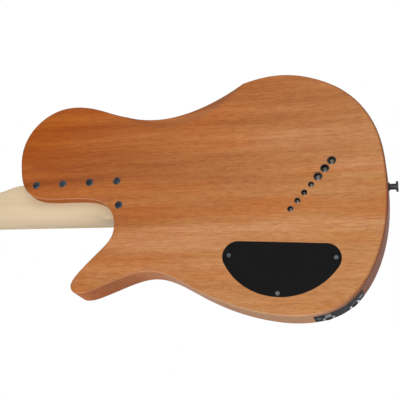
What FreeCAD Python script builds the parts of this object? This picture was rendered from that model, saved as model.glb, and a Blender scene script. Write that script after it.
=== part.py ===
import FreeCAD, Part
import math
import os

V = FreeCAD.Vector
os.makedirs("parts", exist_ok=True)

# A seven-string hybrid guitar with fanned frets: three bass strings and four guitar strings.
# Millimetres. +Z runs from the tail to the headstock, -Y is the playing side, +X the treble side.
# The origin is the middle of the tail strap button's head, on the centre line at mid thickness.

# Body
body_length = 480.0
body_width = 311.0
body_thickness = 38.0
edge_radius = 3.0
cut_overrun = 5.0
body_outline_shares = [
    (0.000, 0.0000), (0.145, 0.0030), (0.273, 0.0210), (0.383, 0.0540),
    (0.461, 0.1000), (0.501, 0.1620), (0.510, 0.2230), (0.497, 0.2980),
    (0.455, 0.3930), (0.397, 0.4740), (0.347, 0.5400), (0.331, 0.5900),
    (0.344, 0.6380), (0.376, 0.6920), (0.403, 0.7360), (0.4155, 0.7680),
    (0.408, 0.7910), (0.384, 0.7990), (0.355, 0.7930), (0.315, 0.7740),
    (0.2315, 0.7240), (0.188, 0.7030), (0.145, 0.6970), (0.099, 0.7020),
    (0.061, 0.7160), (0.031, 0.7410), (0.016, 0.7760), (0.011, 0.8330),
    (0.008, 0.8960), (-0.001, 0.9300), (-0.023, 0.9580), (-0.060, 0.9790),
    (-0.130, 0.9940), (-0.225, 1.0000), (-0.313, 0.9830), (-0.383, 0.9430),
    (-0.420, 0.8900), (-0.423, 0.8380), (-0.400, 0.7760), (-0.365, 0.7140),
    (-0.347, 0.6500), (-0.354, 0.5850), (-0.380, 0.5230), (-0.421, 0.4540),
    (-0.466, 0.3790), (-0.493, 0.3080), (-0.493, 0.2440), (-0.463, 0.1740),
    (-0.402, 0.1050), (-0.309, 0.0510), (-0.193, 0.0170),
]
belly_vertex_x = -90.0
belly_vertex_from_tail = 275.0
belly_cutter_radius = 185.0
belly_cutter_length = 260.0
belly_slope_deg = 31.0

# Proportions of the screws and of six-sided nuts
screw_tip_share = 1.5
screw_rim_share = 0.2
screw_drive_radius_share = 0.35
screw_drive_depth_share = 0.6
screw_head_round_share = 0.3
nut_sides = 6

# Strap buttons
button_base_radius = 5.2
button_base_height = 2.0
button_step_share = 0.5
button_neck_radius = 3.6
button_neck_length = 6.7
button_head_radius = 6.25
button_head_thickness = 2.6
button_screw_radius = 1.7
button_screw_head_radius = 3.4
button_screw_head_height = 1.9
button_screw_depth = 24.0
bout_button_outline_share = 0.605
bout_button_y = -8.0

# String layout
string_count = 7
bass_string_count = 3
saddle_pitch = 10.0
nut_pitch = 6.15
bass_scale = 723.9
treble_scale = 647.7
bass_saddle_from_tail = 80.0
saddle_fan = 48.0
ferrule_behind_saddle = 16.0
string_radii = [1.33, 1.02, 0.83, 0.46, 0.33, 0.25, 0.2]
string_clearance = 0.06

# Neck and fretboard
fret_count = 22
board_edge_at_nut = 2.5
board_edge_at_saddle = 2.9
board_thickness = 5.5
board_over_body = 6.0
board_past_last_fret_share = 0.6
tongue_thickness = 14.0
neck_fit = 0.05
neck_depth_first_fret = 15.5
neck_depth_last = 17.0
heel_flat_end_z = 486.0
neck_round_z = 548.0
heel_edge_start_z = 357.0
heel_edge_round_z = 382.0
neck_flat_share = 0.14
heel_flat_share = 0.96
neck_fullness_share = 0.6
heel_fullness_share = 0.93
neck_flank_points = 32
neck_flat_points = 8
neck_round_points = 61
neck_row_spacing = 10.0
neck_carve_step = 0.05  # the carved back lies this far under the heel's and the head's flat backs
neck_degree = 3

# Frets, nut and markers
fret_crown_width = 2.4
fret_crown_height = 1.1
fret_tang_width = 0.6
fret_tang_depth = 1.8
fret_slot_extra = 0.2
fret_end_inset = 0.6
nut_width = 5.0
nut_top_over_string = 0.9
string_over_first_fret = 0.5
string_over_body_end_fret = 4.2
face_dot_radius = 3.0
side_dot_radius = 1.0
dot_depth = 1.6
dot_fit = 0.02
side_dot_below_top = 2.7
single_dot_frets = [3, 5, 7, 9, 15, 17, 19, 21]
double_dot_fret = 12
double_dot_share = 0.45

# Headstock
head_length = 180.0
head_half_width = 41.0
head_face_below_board = 12.5
head_thickness = 14.5
head_edge_radius = 1.5
head_shelf_past_nut = 14.0
head_ramp_radius = 14.0
head_outline_shares = [
    (0.570, 0.100), (0.720, 0.138), (0.870, 0.185), (0.930, 0.245),
    (0.905, 0.330), (0.825, 0.470), (0.715, 0.640), (0.610, 0.790),
    (0.450, 0.910), (0.160, 0.985), (-0.130, 0.985), (-0.410, 0.915),
    (-0.600, 0.830), (-0.730, 0.690), (-0.870, 0.480), (-0.985, 0.310),
    (-0.985, 0.240), (-0.890, 0.178), (-0.740, 0.136), (-0.580, 0.100),
]

# Tuners: the first set of values is the bass size, the second the guitar size
bass_tuner = {
    "post_radius": 5.0, "post_height": 19.5, "tip_height": 2.0, "turns": 1.75,
    "bush_radius": 8.2, "bush_height": 2.6, "hole_radius": 7.0,
    "gear_radius": 7.2, "gear_height": 5.0, "worm_radius": 3.0, "worm_length": 11.0,
    "shaft_radius": 2.0, "case_inner": 9.5, "case_outer": 11.0, "case_up": 9.5,
    "case_down": 15.2, "case_height": 13.0, "button_length": 15.0,
    "button_height": 22.0, "button_thickness": 9.0, "button_gap": 5.5,
}
guitar_tuner = {
    "post_radius": 3.0, "post_height": 17.5, "tip_height": 1.6, "turns": 3.0,
    "bush_radius": 5.6, "bush_height": 3.0, "hole_radius": 4.8,
    "gear_radius": 5.3, "gear_height": 4.0, "worm_radius": 2.3, "worm_length": 9.0,
    "shaft_radius": 1.5, "case_inner": 7.5, "case_outer": 8.6, "case_up": 7.5,
    "case_down": 11.6, "case_height": 10.6, "button_length": 13.0,
    "button_height": 17.0, "button_thickness": 7.5, "button_gap": 5.0,
}
button_round_share = 0.4
bass_post_first = (-27.0, 50.0)
bass_post_step = (6.5, 40.0)
guitar_post_first = (25.0, 44.0)
guitar_post_step = (-5.5, 32.0)
tuner_running_gap = 0.06
gear_gap = 0.3
case_wall = 1.4
case_corner_radius = 1.6
case_screw_radius = 1.2
case_screw_head_radius = 2.1
case_screw_head_height = 1.3
case_screw_length = 9.0
case_ear_length = 5.4
case_ear_height = 2.4
post_foot_share = 0.8
tip_bevel_share = 0.3
bush_round_share = 0.35
bush_corner_share = 0.95
key_bite_share = 0.6
key_collar_share = 1.5
button_root_share = 0.45
button_widest_share = 0.55
winding_gap = 0.5
winding_over_bush = 0.35
winding_post_fit = 0.04
post_waist_depth = 0.3
string_to_winding = 0.12
gap_steps_per_turn = 24

# Bridge units
base_width = 9.4
base_thickness = 2.5
base_rail_width = 0.6
base_rail_height = 2.0
base_behind_hole = 11.0
base_ahead_of_hole = 38.5
lug_thickness = 2.5
lug_height = 5.4
base_screw_behind_hole = 6.6
base_screw_ahead_of_hole = 31.5
base_screw_radius = 1.4
base_screw_head_radius = 2.4
base_screw_head_height = 1.4
base_screw_length = 15.0
saddle_length = 12.0
saddle_ahead_share = 0.5
saddle_side_fit = 0.12
saddle_bottom_fit = 0.05
saddle_low_height = 4.6
saddle_crest_radius = 1.6
saddle_shoulder_share = 0.45
intonation_radius = 1.1
intonation_fit = 0.08
intonation_height = 3.1
intonation_head_radius = 2.0
intonation_head_length = 1.8
intonation_reach = 22.5
string_hole_radius = 1.9
string_bend_radius = 3.2

# Ferrules: outer radius, length, ball seat radius and depth
bass_ferrule = {"radius": 5.5, "length": 9.0, "seat": 3.7, "depth": 6.0, "bore": 1.8}
guitar_ferrule = {"radius": 3.75, "length": 8.0, "seat": 2.5, "depth": 5.0, "bore": 1.2}
ferrule_rim = 0.8
ferrule_rim_height = 0.8
ferrule_outer_bevel_share = 0.5
ferrule_inner_bevel_share = 0.3
ferrule_recess = 0.2
ball_radius_share = 0.86
ball_length_share = 0.6
ball_round_share = 0.35
ball_gap = 0.1

# Pickups
pickup_length = 88.0
pickup_width = 36.0
pickup_height = 20.0
pickup_corner = 5.0
pickup_edge = 1.5
pickup_wall = 1.8
pickup_over_body = 5.5
pickup_fit = 0.5
pickup_cavity_depth = 19.0
neck_pickup_share = 0.212
bridge_pickup_share = 0.078
coil_width = 12.5
coil_height = 11.0
coil_spacing = 15.0
coil_round_share = 0.49
blade_width = 3.0
blade_round_share = 0.4
blade_above_coil = 1.0
pickup_screw_radius = 1.4
pickup_screw_head_radius = 2.5
pickup_screw_head_height = 1.6
pickup_screw_length = 34.0
pickup_screw_inset = 5.0
foam_length = 54.0
foam_width = 20.0

# Controls in the half-moon cavity
moon_centre_x = 71.3
moon_centre_from_tail = 121.0
moon_tilt_deg = -3.1
moon_radius = 78.0
moon_depth = 65.3
moon_corner = 18.0
moon_fit = 0.3
cover_thickness = 2.0
cover_recess = 0.1
moon_ledge = 7.0
front_wall = 5.0
cover_screw_shares = [(-0.92, 0.27), (0.945, 0.25), (0.0, 0.935)]
plate_screw_radius = 1.3
plate_screw_head_radius = 2.5
plate_screw_head_height = 1.2
plate_screw_length = 8.0
pot_radius = 8.5
pot_height = 8.0
pot_bush_radius = 3.5
pot_bush_height = 8.6
pot_shaft_radius = 3.0
pot_shaft_gap = 0.06
pot_shaft_depth = 5.0
pot_round_share = 0.1
pot_lug_share = 0.6
pot_lug_height_share = 0.2
pot_nut_radius = 5.4
pot_nut_height = 2.0
pot_along_shares = [-0.56, -0.06, 0.44]
pot_across_share = 0.54
knob_radius = 9.5
knob_top_radius = 8.4
knob_height = 15.0
knob_lift = 0.8
knob_bevel = 1.0
knob_recess_radius = 6.4
knob_recess_depth = 3.6
knob_wall_over_shaft = 1.6
knob_line_width = 1.0
knob_line_depth = 0.5
switch_along_share = -0.26
switch_across_share = 0.24
switch_box = 12.6
switch_box_height = 10.0
switch_bush_radius = 3.1
switch_bush_height = 8.4
switch_nut_radius = 4.6
switch_nut_height = 2.0
switch_ball_radius = 2.0
switch_lever_radius = 1.0
switch_lever_tip_radius = 2.2
switch_lever_length = 17.0
switch_tip_length = 9.0
switch_cone_deg = 24.0
switch_gap = 0.1
switch_pivot_below_rim = 2.6
switch_rim_share = 0.93
lever_tip_bevel_share = 0.5
lever_tip_end_share = 0.6

# Jacks on the side wall: places are (x, distance from the tail)
jack_plate_start = (126.5, 31.0)
jack_plate_middle = (146.8, 53.8)
jack_plate_end = (156.6, 85.5)
jack_plate_width = 24.0
jack_plate_thickness = 1.6
jack_plate_proud = 0.5
jack_plate_y = -3.0
jack_spacing_share = 0.5
jack_bush_radius = 4.7
jack_bore_radius = 3.25
jack_bore_length = 28.0
jack_case_radius = 6.6
jack_case_length = 24.0
jack_out = 2.4
jack_nut_radius = 7.0
jack_nut_height = 1.8
jack_hole_radius = 9.0
jack_hole_length = 46.0
jack_screw_share = 0.08

# Neck screws: places are (x, distance from the tail)
neck_screw_places = [(-18.3, 450.7), (-18.3, 412.7), (-18.3, 374.7), (-18.3, 336.7), (15.0, 330.5)]
cup_radius = 5.2
cup_height = 5.0
cup_wall = 1.0
cup_floor = 2.2
cup_bevel_share = 0.4
cup_recess = 0.2
neck_screw_radius = 2.1
neck_screw_head_radius = 4.0
neck_screw_head_height = 2.2
neck_screw_length = 26.0
neck_screw_round_share = 0.5
cross_length_share = 0.6
cross_width_share = 0.12
cross_depth_share = 0.6
screw_fit = 0.03

# Truss rod
rod_width = 6.0
rod_height = 9.0
rod_fit = 0.03
rod_end_before_nut = 8.0
rod_channel_overrun = 20.0
wheel_radius = 6.0
wheel_thickness = 5.0
wheel_hole_radius = 1.1
wheel_hole_count = 5
wheel_hole_share = 0.45
wheel_gap = 0.4
wheel_slot_half_width = 7.5
wheel_slot_reach = 15.0
wheel_spindle_radius = 2.6
wheel_spindle_length = 7.0
wheel_fit = 0.06

# Wiring
wire_radius = 0.8
wire_channel_radius = 3.5
wire_lift = 2.0
wire_bend_radius = 4.0
jack_lead_run = 16.0
long_bend_share = 10.0
short_bend_share = 0.8
end_bend_share = 0.3
wire_gap = 0.3

# Planes and lines worked out from the sizes above
front_y = -body_thickness / 2
back_y = body_thickness / 2
button_height = button_base_height + button_neck_length + button_head_thickness
tail_z = button_height - button_head_thickness / 2
board_top_y = front_y - board_over_body
joint_y = board_top_y + board_thickness
pocket_y = back_y - tongue_thickness
fret_top_y = board_top_y - fret_crown_height
half_count = (string_count - 1) / 2
saddle_half = half_count * saddle_pitch
nut_half = half_count * nut_pitch
bass_saddle_z = tail_z + bass_saddle_from_tail
treble_saddle_z = bass_saddle_z + saddle_fan
bass_nut_z = bass_saddle_z + bass_scale
treble_nut_z = treble_saddle_z + treble_scale
saddle_mid_z = (bass_saddle_z + treble_saddle_z) / 2
nut_mid_z = (bass_nut_z + treble_nut_z) / 2
saddle_edge = saddle_half + board_edge_at_saddle
nut_edge = nut_half + board_edge_at_nut
edge_slope = (nut_edge - saddle_edge) / (nut_mid_z - saddle_mid_z)
board_end_share = 0.5 ** ((fret_count + board_past_last_fret_share) / 12)
head_face_y = board_top_y + head_face_below_board
head_back_y = head_face_y + head_thickness


def board_half(z):
    return saddle_edge + edge_slope * (z - saddle_mid_z)


def fan_point(side, share):
    """The point of an outer string that is share of its scale from the saddle: side -1 bass, 1 treble."""
    x = side * (saddle_half + (nut_half - saddle_half) * share)
    if side < 0:
        return x, bass_saddle_z + bass_scale * share
    return x, treble_saddle_z + treble_scale * share


def fan_line(share, inset=0.0):
    """The two ends of a fan line on the board's edges, as (x, z), each drawn in by inset."""
    bass_x, bass_z = fan_point(-1, share)
    treble_x, treble_z = fan_point(1, share)
    dx = treble_x - bass_x
    dz = treble_z - bass_z
    edge = board_half(bass_z)
    to_bass = (edge + bass_x) / (-dx - edge_slope * dz)
    to_treble = (edge - bass_x) / (dx - edge_slope * dz)
    drawn = inset / math.hypot(dx, dz)
    low = to_bass + drawn
    high = to_treble - drawn
    return (bass_x + dx * low, bass_z + dz * low), (bass_x + dx * high, bass_z + dz * high)


def saddle_place(i):
    return (i - half_count) * saddle_pitch, bass_saddle_z + saddle_fan * i / (string_count - 1)


def nut_place(i):
    return (i - half_count) * nut_pitch, bass_nut_z + (treble_nut_z - bass_nut_z) * i / (string_count - 1)


def string_y(i, share):
    """The height of a string's centre line at share of the way from the saddle to the nut."""
    at_nut = fret_top_y - string_over_first_fret - string_radii[i]
    at_saddle = fret_top_y - string_over_body_end_fret - string_radii[i]
    return at_saddle + (at_nut - at_saddle) * share


def plate(points, y_low, y_high):
    corners = [V(x, y_low, z) for x, z in points]
    return Part.Face(Part.makePolygon(corners + corners[:1])).extrude(V(0, y_high - y_low, 0))


def round_rod(radius, start, end):
    along = end - start
    return Part.makeCylinder(radius, along.Length, start, along)


def ring(outer, inner, start, end):
    return round_rod(outer, start, end).cut(round_rod(inner, start, end))


def turned(profile, start, axis):
    """A solid of revolution: profile is a list of (distance along the axis, radius) from start."""
    points = [V(r, 0, h) for h, r in profile]
    face = Part.Face(Part.makePolygon(points + points[:1]))
    solid = face.revolve(V(0, 0, 0), V(0, 0, 1), 360)
    solid.Placement = FreeCAD.Placement(start, FreeCAD.Rotation(V(0, 0, 1), axis))
    return solid


def countersunk(radius, head_radius, head_height, length, top, inward):
    """A flat-headed screw whose head's face is centred at top and whose point is inward."""
    tip = radius * screw_tip_share
    drive_radius = head_radius * screw_drive_radius_share
    drive_depth = head_height * screw_drive_depth_share
    profile = [
        (0, drive_radius), (0, head_radius), (head_height * screw_rim_share, head_radius),
        (head_height, radius), (length - tip, radius), (length, 0),
        (drive_depth, 0), (drive_depth, drive_radius),
    ]
    return turned(profile, top, inward)


def screw_hole(radius, head_radius, head_height, length, top, inward, fit):
    rim = head_height * screw_rim_share
    profile = [
        (-cut_overrun, 0), (-cut_overrun, head_radius + fit), (rim, head_radius + fit),
        (head_height, radius + fit), (length + fit, radius + fit), (length + fit, 0),
    ]
    return turned(profile, top, inward)


def smooth_outline(points, y_low, y_high):
    curve = Part.BSplineCurve()
    curve.interpolate(Points=[V(x, y_low, z) for x, z in points], PeriodicFlag=True)
    return Part.Face(Part.Wire([curve.toShape()])).extrude(V(0, y_high - y_low, 0)), curve


def save(name, solids):
    if not isinstance(solids, list):
        solids = [solids]
    loose = []
    for shape in solids:
        loose += shape.Solids
    for solid in loose:
        if not solid.isValid():
            print("not valid:", name)
    shape = loose[0] if len(loose) == 1 else Part.makeCompound(loose)
    shape.exportStep("parts/" + name + ".step")
    print(name, len(loose), "solids, volume", round(shape.Volume, 1))


# Half-moon plan, in its own directions: along the flat edge and across it
moon_turn = math.radians(moon_tilt_deg)
moon_along = V(-math.sin(moon_turn), 0, -math.cos(moon_turn))
moon_across = V(math.cos(moon_turn), 0, -math.sin(moon_turn))
moon_centre = V(moon_centre_x, 0, tail_z + moon_centre_from_tail)


def moon_place(along, across, y):
    return moon_centre + moon_along * along + moon_across * across + V(0, y, 0)


def half_moon(grow, y_low, y_high):
    """The half-moon outline as a prism; grow moves every edge outwards."""
    radius = moon_radius + grow
    centre = moon_depth - moon_radius
    flat = -grow
    half = math.sqrt(radius ** 2 - (flat - centre) ** 2)
    low = moon_place(-half, flat, y_low)
    high = moon_place(half, flat, y_low)
    crown = moon_place(0, centre + radius, y_low)
    wire = Part.Wire([Part.Arc(low, crown, high).toShape(), Part.LineSegment(high, low).toShape()])
    prism = Part.Face(wire).extrude(V(0, y_high - y_low, 0))
    upright = [e for e in prism.Edges if e.BoundBox.YLength > (y_high - y_low) / 2]
    return prism.makeFillet(moon_corner + grow, upright)


def moon_shared(along_share, across_share, y):
    half = moon_radius - (moon_radius - moon_depth) / 2
    return moon_place(along_share * (half - moon_corner / 4), across_share * moon_depth, y)


pot_centres = [moon_shared(share, pot_across_share, 0) for share in pot_along_shares]
switch_centre = moon_shared(switch_along_share, switch_across_share, 0)
cover_face_y = back_y - cover_recess
cover_screw_tops = [moon_shared(a, b, cover_face_y) for a, b in cover_screw_shares]
cavity_floor_y = front_y + front_wall

# The jack plate follows an arc of the side wall
jack_start = V(jack_plate_start[0], 0, tail_z + jack_plate_start[1])
jack_middle = V(jack_plate_middle[0], 0, tail_z + jack_plate_middle[1])
jack_end = V(jack_plate_end[0], 0, tail_z + jack_plate_end[1])
jack_circle = Part.Circle(jack_start, jack_middle, jack_end)
jack_centre = V(jack_circle.Center.x, jack_plate_y, jack_circle.Center.z)
jack_radius = jack_circle.Radius + jack_plate_proud
jack_start_angle = math.atan2(jack_start.z - jack_centre.z, jack_start.x - jack_centre.x)
jack_end_angle = math.atan2(jack_end.z - jack_centre.z, jack_end.x - jack_centre.x)


def jack_direction(share):
    """Outward from the arc's centre at share of the plate's length."""
    angle = jack_start_angle + (jack_end_angle - jack_start_angle) * share
    return V(math.cos(angle), 0, math.sin(angle))


jack_shares = [0.5 - jack_spacing_share / 2, 0.5 + jack_spacing_share / 2]
jack_screw_shares = [jack_screw_share, 1 - jack_screw_share]


def jack_sector(inner, outer, margin):
    """The part of a ring round the jack arc's centre that the plate covers."""
    tall = jack_plate_width / 2 + margin
    low = jack_centre - V(0, tall, 0)
    high = jack_centre + V(0, tall, 0)
    band = ring(outer, inner, low, high)
    first = jack_direction(0)
    last = jack_direction(1)
    reach = 2 * outer
    side = V(-first.z, 0, first.x)
    if side.dot(last) > 0:
        side = side * -1
    start = first * outer + side * margin
    end_side = V(-last.z, 0, last.x)
    if end_side.dot(first) > 0:
        end_side = end_side * -1
    end = last * outer + end_side * margin
    wedge = [(0, 0), (start.x * 2, start.z * 2), ((first + last).x * reach, (first + last).z * reach)]
    wedge.append((end.x * 2, end.z * 2))
    points = [(low.x + x, low.z + z) for x, z in wedge]
    return band.common(plate(points, low.y, high.y))


def fan_frame(share):
    """Centre and unit direction of a fan line, for the pickups."""
    bass = fan_point(-1, share)
    treble = fan_point(1, share)
    centre = V((bass[0] + treble[0]) / 2, 0, (bass[1] + treble[1]) / 2)
    along = V(treble[0] - bass[0], 0, treble[1] - bass[1]).normalize()
    return centre, along


def fan_box(share, length, width, y_low, y_high, corner=0.0, across=0.0):
    """A box along a fan line, rounded at its four upright corners, moved across the line."""
    centre, along = fan_frame(share)
    side = V(-along.z, 0, along.x)
    middle = centre + side * across
    corners = []
    for a, b in ((-1, -1), (1, -1), (1, 1), (-1, 1)):
        point = middle + along * (a * length / 2) + side * (b * width / 2)
        corners.append((point.x, point.z))
    box = plate(corners, y_low, y_high)
    if corner > 0:
        upright = [e for e in box.Edges if e.BoundBox.YLength > abs(y_high - y_low) / 2]
        box = box.makeFillet(corner, upright)
    return box


def tangent_arc(start, tangent, end):
    """An arc from start to end that leaves start along tangent."""
    chord = end - start
    normal = chord - tangent * chord.dot(tangent)
    normal.normalize()
    radius = chord.Length ** 2 / (2 * chord.dot(normal))
    centre = start + normal * radius
    middle = (start - centre) + (end - centre)
    middle.normalize()
    return Part.Arc(start, centre + middle * radius, end).toShape()


def helix_edges(centre, radius, pitch, turns, start_deg, hand):
    """Biarcs of a quarter turn each along a helix about Y; the helix runs towards +Y."""
    quarters = int(round(turns * 4))
    rise = pitch / 4

    def point(n):
        angle = math.radians(start_deg + hand * 90 * n)
        return centre + V(radius * math.cos(angle), rise * n, radius * math.sin(angle))

    def direction(n):
        angle = math.radians(start_deg + hand * 90 * n)
        quarter = math.pi / 2
        way = V(-math.sin(angle) * radius * quarter * hand, rise, math.cos(angle) * radius * quarter * hand)
        return way.normalize()

    edges = []
    for n in range(quarters):
        low, high = point(n), point(n + 1)
        t_low, t_high = direction(n), direction(n + 1)
        v = high - low
        t = t_low + t_high
        spread = 2 * (1 - t_low.dot(t_high))
        d = (-v.dot(t) + math.sqrt(v.dot(t) ** 2 + spread * v.dot(v))) / spread
        middle = (low + high + (t_low - t_high) * d) * 0.5
        edges.append(tangent_arc(low, t_low, middle))
        edges.append(tangent_arc(middle, (middle - low - t_low * d).normalize(), high))
    return edges, direction(0)


def tube_on(edges, radius, start, direction):
    ring_wire = Part.Wire([Part.makeCircle(radius, start, direction)])
    return Part.Wire(edges).makePipeShell([ring_wire], True, False)


def rounded_path(points, radii):
    """Straight runs joined by tangent arcs; radii has one value for each inner point."""
    edges = []
    last = points[0]
    for k, radius in enumerate(radii, start=1):
        before = (points[k - 1] - points[k]).normalize()
        after = (points[k + 1] - points[k]).normalize()
        half = (math.pi - before.getAngle(after)) / 2
        back = radius * math.tan(half)
        start = points[k] + before * back
        end = points[k] + after * back
        inward = (before + after).normalize()
        middle = points[k] + inward * (radius / math.cos(half) - radius)
        edges.append(Part.LineSegment(last, start).toShape())
        edges.append(Part.Arc(start, middle, end).toShape())
        last = end
    edges.append(Part.LineSegment(last, points[-1]).toShape())
    return edges


# Strings: where each one bends and where its post stands
def tuner_of(i):
    return bass_tuner if i < bass_string_count else guitar_tuner


def tuner_side(i):
    return -1 if i < bass_string_count else 1


def post_place(i):
    if i < bass_string_count:
        x, z = bass_post_first
        step_x, step_z = bass_post_step
        n = i
    else:
        x, z = guitar_post_first
        step_x, step_z = guitar_post_step
        n = string_count - 1 - i
    return x + step_x * n, bass_nut_z + z + step_z * n


def winding_radius(i):
    return tuner_of(i)["post_radius"] - post_waist_depth + winding_post_fit + string_radii[i]


def winding_pitch(i):
    return 2 * string_radii[i] + winding_gap


def winding_top_y(i):
    size = tuner_of(i)
    lowest = head_face_y - size["bush_height"] - winding_over_bush - string_radii[i]
    return lowest - winding_pitch(i) * size["turns"]


def base_top_y():
    return front_y - base_thickness


def string_points(i):
    """Ball, bend under the saddle, crest, nut and the place where the winding begins."""
    x, z = saddle_place(i)
    hole_z = z - ferrule_behind_saddle
    nut_x, nut_z = nut_place(i)
    post_x, post_z = post_place(i)
    side = tuner_side(i)
    size = bass_ferrule if i < bass_string_count else guitar_ferrule
    seat_y = back_y - ferrule_recess - size["depth"]
    ball = V(x, seat_y + string_radii[i] * 2 + ball_gap, hole_z)
    bend = V(x, base_top_y() - string_radii[i], hole_z)
    crest = V(x, string_y(i, 0), z)
    nut = V(nut_x, string_y(i, 1), nut_z)
    tangent_x = post_x - side * winding_radius(i)
    end = V(tangent_x, winding_top_y(i), post_z)
    back = (nut - end).normalize() * string_to_winding
    return [ball, bend, crest, nut, end + back]


def string_solid(i, grow=0.0):
    points = string_points(i)
    edges = rounded_path(points, [string_bend_radius, string_bend_radius, string_bend_radius * 3])
    return tube_on(edges, string_radii[i] + grow, points[0], points[1] - points[0])


# Body
def body_block():
    points = [(x * body_width, tail_z + z * body_length) for x, z in body_outline_shares]
    block, curve = smooth_outline(points, front_y, back_y)
    slope = math.radians(belly_slope_deg)
    outward = V(-math.cos(slope), -math.sin(slope), 0)
    upward = V(-math.sin(slope), math.cos(slope), 0)
    vertex = V(belly_vertex_x, back_y, tail_z + belly_vertex_from_tail)
    start = vertex + upward * belly_cutter_radius - outward * (belly_cutter_length / 2)
    block = block.cut(Part.makeCylinder(belly_cutter_radius, belly_cutter_length, start, outward))
    rims = []
    for face in block.Faces:
        if face.Surface.TypeId == "Part::GeomSurfaceOfExtrusion":
            rims += [e for e in face.Edges if e.BoundBox.XLength + e.BoundBox.ZLength > edge_radius]
    return block.makeFillet(edge_radius, rims), curve


def bout_button_frame(curve):
    """Where the upper bout's strap button stands on the side wall, and its outward direction."""
    low, high = curve.FirstParameter, curve.LastParameter
    at = low + (high - low) * bout_button_outline_share
    point = curve.value(at)
    along = curve.tangent(at)[0]
    outward = V(along.z, 0, -along.x)
    if outward.z < 0:
        outward = outward * -1
    return V(point.x, bout_button_y, point.z), outward


def button_frames(curve):
    return [(V(0, 0, tail_z), V(0, 0, -1)), bout_button_frame(curve)]


def heel_outline(grow, top_z):
    """Plan of the neck's heel with its slanted end, grown by a clearance."""
    bass, treble = fan_line(board_end_share)
    half = board_half(top_z) + grow
    return [
        (bass[0] - grow, bass[1] - grow), (treble[0] + grow, treble[1] - grow),
        (half, top_z), (-half, top_z),
    ]


def wheel_centre():
    """Middle of the truss rod's adjusting wheel, just past the slanted end of the board."""
    bass, treble = fan_line(board_end_share)
    at = -bass[0] / (treble[0] - bass[0])
    end_z = bass[1] + (treble[1] - bass[1]) * at
    slant = abs(treble[1] - bass[1]) / (treble[0] - bass[0])
    return V(0, joint_y + rod_height / 2, end_z - wheel_gap - slant * wheel_radius - wheel_thickness / 2)


def make_body(block, curve):
    body = block
    top_z = tail_z + body_length + cut_overrun
    body = body.cut(plate(heel_outline(neck_fit, top_z), pocket_y, front_y - cut_overrun))
    wheel = wheel_centre()
    slot_low = wheel.z - wheel_thickness / 2 - wheel_gap
    slot_high = wheel.z + wheel_slot_reach
    slot = [
        (-wheel_slot_half_width, slot_low), (wheel_slot_half_width, slot_low),
        (wheel_slot_half_width, slot_high), (-wheel_slot_half_width, slot_high),
    ]
    body = body.cut(plate(slot, wheel.y + wheel_radius + wheel_gap, front_y - cut_overrun))
    for share in (neck_pickup_share, bridge_pickup_share):
        hole = fan_box(
            share, pickup_length + 2 * pickup_fit, pickup_width + 2 * pickup_fit,
            front_y - cut_overrun, front_y + pickup_cavity_depth, pickup_corner + pickup_fit,
        )
        body = body.cut(hole)
    body = body.cut(half_moon(moon_fit, back_y - cover_thickness - cover_recess, back_y + cut_overrun))
    body = body.cut(half_moon(-moon_ledge, cavity_floor_y, back_y + cut_overrun))
    for centre in pot_centres:
        low = V(centre.x, cavity_floor_y + cut_overrun, centre.z)
        high = V(centre.x, front_y - cut_overrun, centre.z)
        body = body.cut(round_rod(pot_bush_radius + screw_fit, low, high))
    low = V(switch_centre.x, cavity_floor_y + cut_overrun, switch_centre.z)
    high = V(switch_centre.x, front_y - cut_overrun, switch_centre.z)
    body = body.cut(round_rod(switch_bush_radius + screw_fit, low, high))
    down = V(0, -1, 0)
    for top in cover_screw_tops:
        at = V(top.x, back_y - cover_recess - cover_thickness, top.z)
        depth = plate_screw_length - cover_thickness + screw_fit
        body = body.cut(round_rod(plate_screw_radius + screw_fit, at, at + down * depth))
    body = body.cut(jack_sector(jack_radius - jack_plate_thickness, jack_radius + cut_overrun, screw_fit))
    for share in jack_shares:
        way = jack_direction(share)
        mouth = jack_centre + way * (jack_radius + cut_overrun)
        body = body.cut(round_rod(jack_hole_radius, mouth, mouth - way * (jack_hole_length + cut_overrun)))
    for share in jack_screw_shares:
        way = jack_direction(share)
        top = jack_centre + way * jack_radius
        end = top - way * (plate_screw_length + screw_fit)
        body = body.cut(round_rod(plate_screw_radius + screw_fit, top, end))
    for i in range(string_count):
        x, z = saddle_place(i)
        hole_z = z - ferrule_behind_saddle
        size = bass_ferrule if i < bass_string_count else guitar_ferrule
        low = V(x, front_y - cut_overrun, hole_z)
        body = body.cut(round_rod(string_hole_radius, low, V(x, back_y + cut_overrun, hole_z)))
        seat = V(x, back_y - ferrule_recess - size["length"], hole_z)
        body = body.cut(round_rod(size["radius"] + screw_fit, seat, V(x, back_y + cut_overrun, hole_z)))
        for ahead in (-base_screw_behind_hole, base_screw_ahead_of_hole):
            top = V(x, front_y, hole_z + ahead)
            depth = base_screw_length - base_thickness + screw_fit
            body = body.cut(round_rod(base_screw_radius + screw_fit, top, top + V(0, depth, 0)))
    for x, from_tail in neck_screw_places:
        z = tail_z + from_tail
        low = V(x, back_y - cup_recess - cup_height, z)
        body = body.cut(round_rod(cup_radius + screw_fit, low, V(x, back_y + cut_overrun, z)))
        body = body.cut(round_rod(neck_screw_radius + screw_fit, V(x, pocket_y - cut_overrun, z), low))
    for seat, outward in button_frames(curve):
        depth = button_screw_depth - button_height + screw_fit
        mouth = seat + outward * cut_overrun
        body = body.cut(round_rod(button_screw_radius + screw_fit, mouth, seat - outward * depth))
        body = body.cut(round_rod(button_base_radius + screw_fit, mouth, seat))
    for share in (neck_pickup_share, bridge_pickup_share):
        for top in pickup_screw_tops(share):
            depth = pickup_screw_length + screw_fit
            low = V(top.x, front_y, top.z)
            body = body.cut(round_rod(pickup_screw_radius + screw_fit, low, top + V(0, depth, 0)))
    for low, high in wire_channels():
        body = body.cut(round_rod(wire_channel_radius, low, high))
    return body


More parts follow.
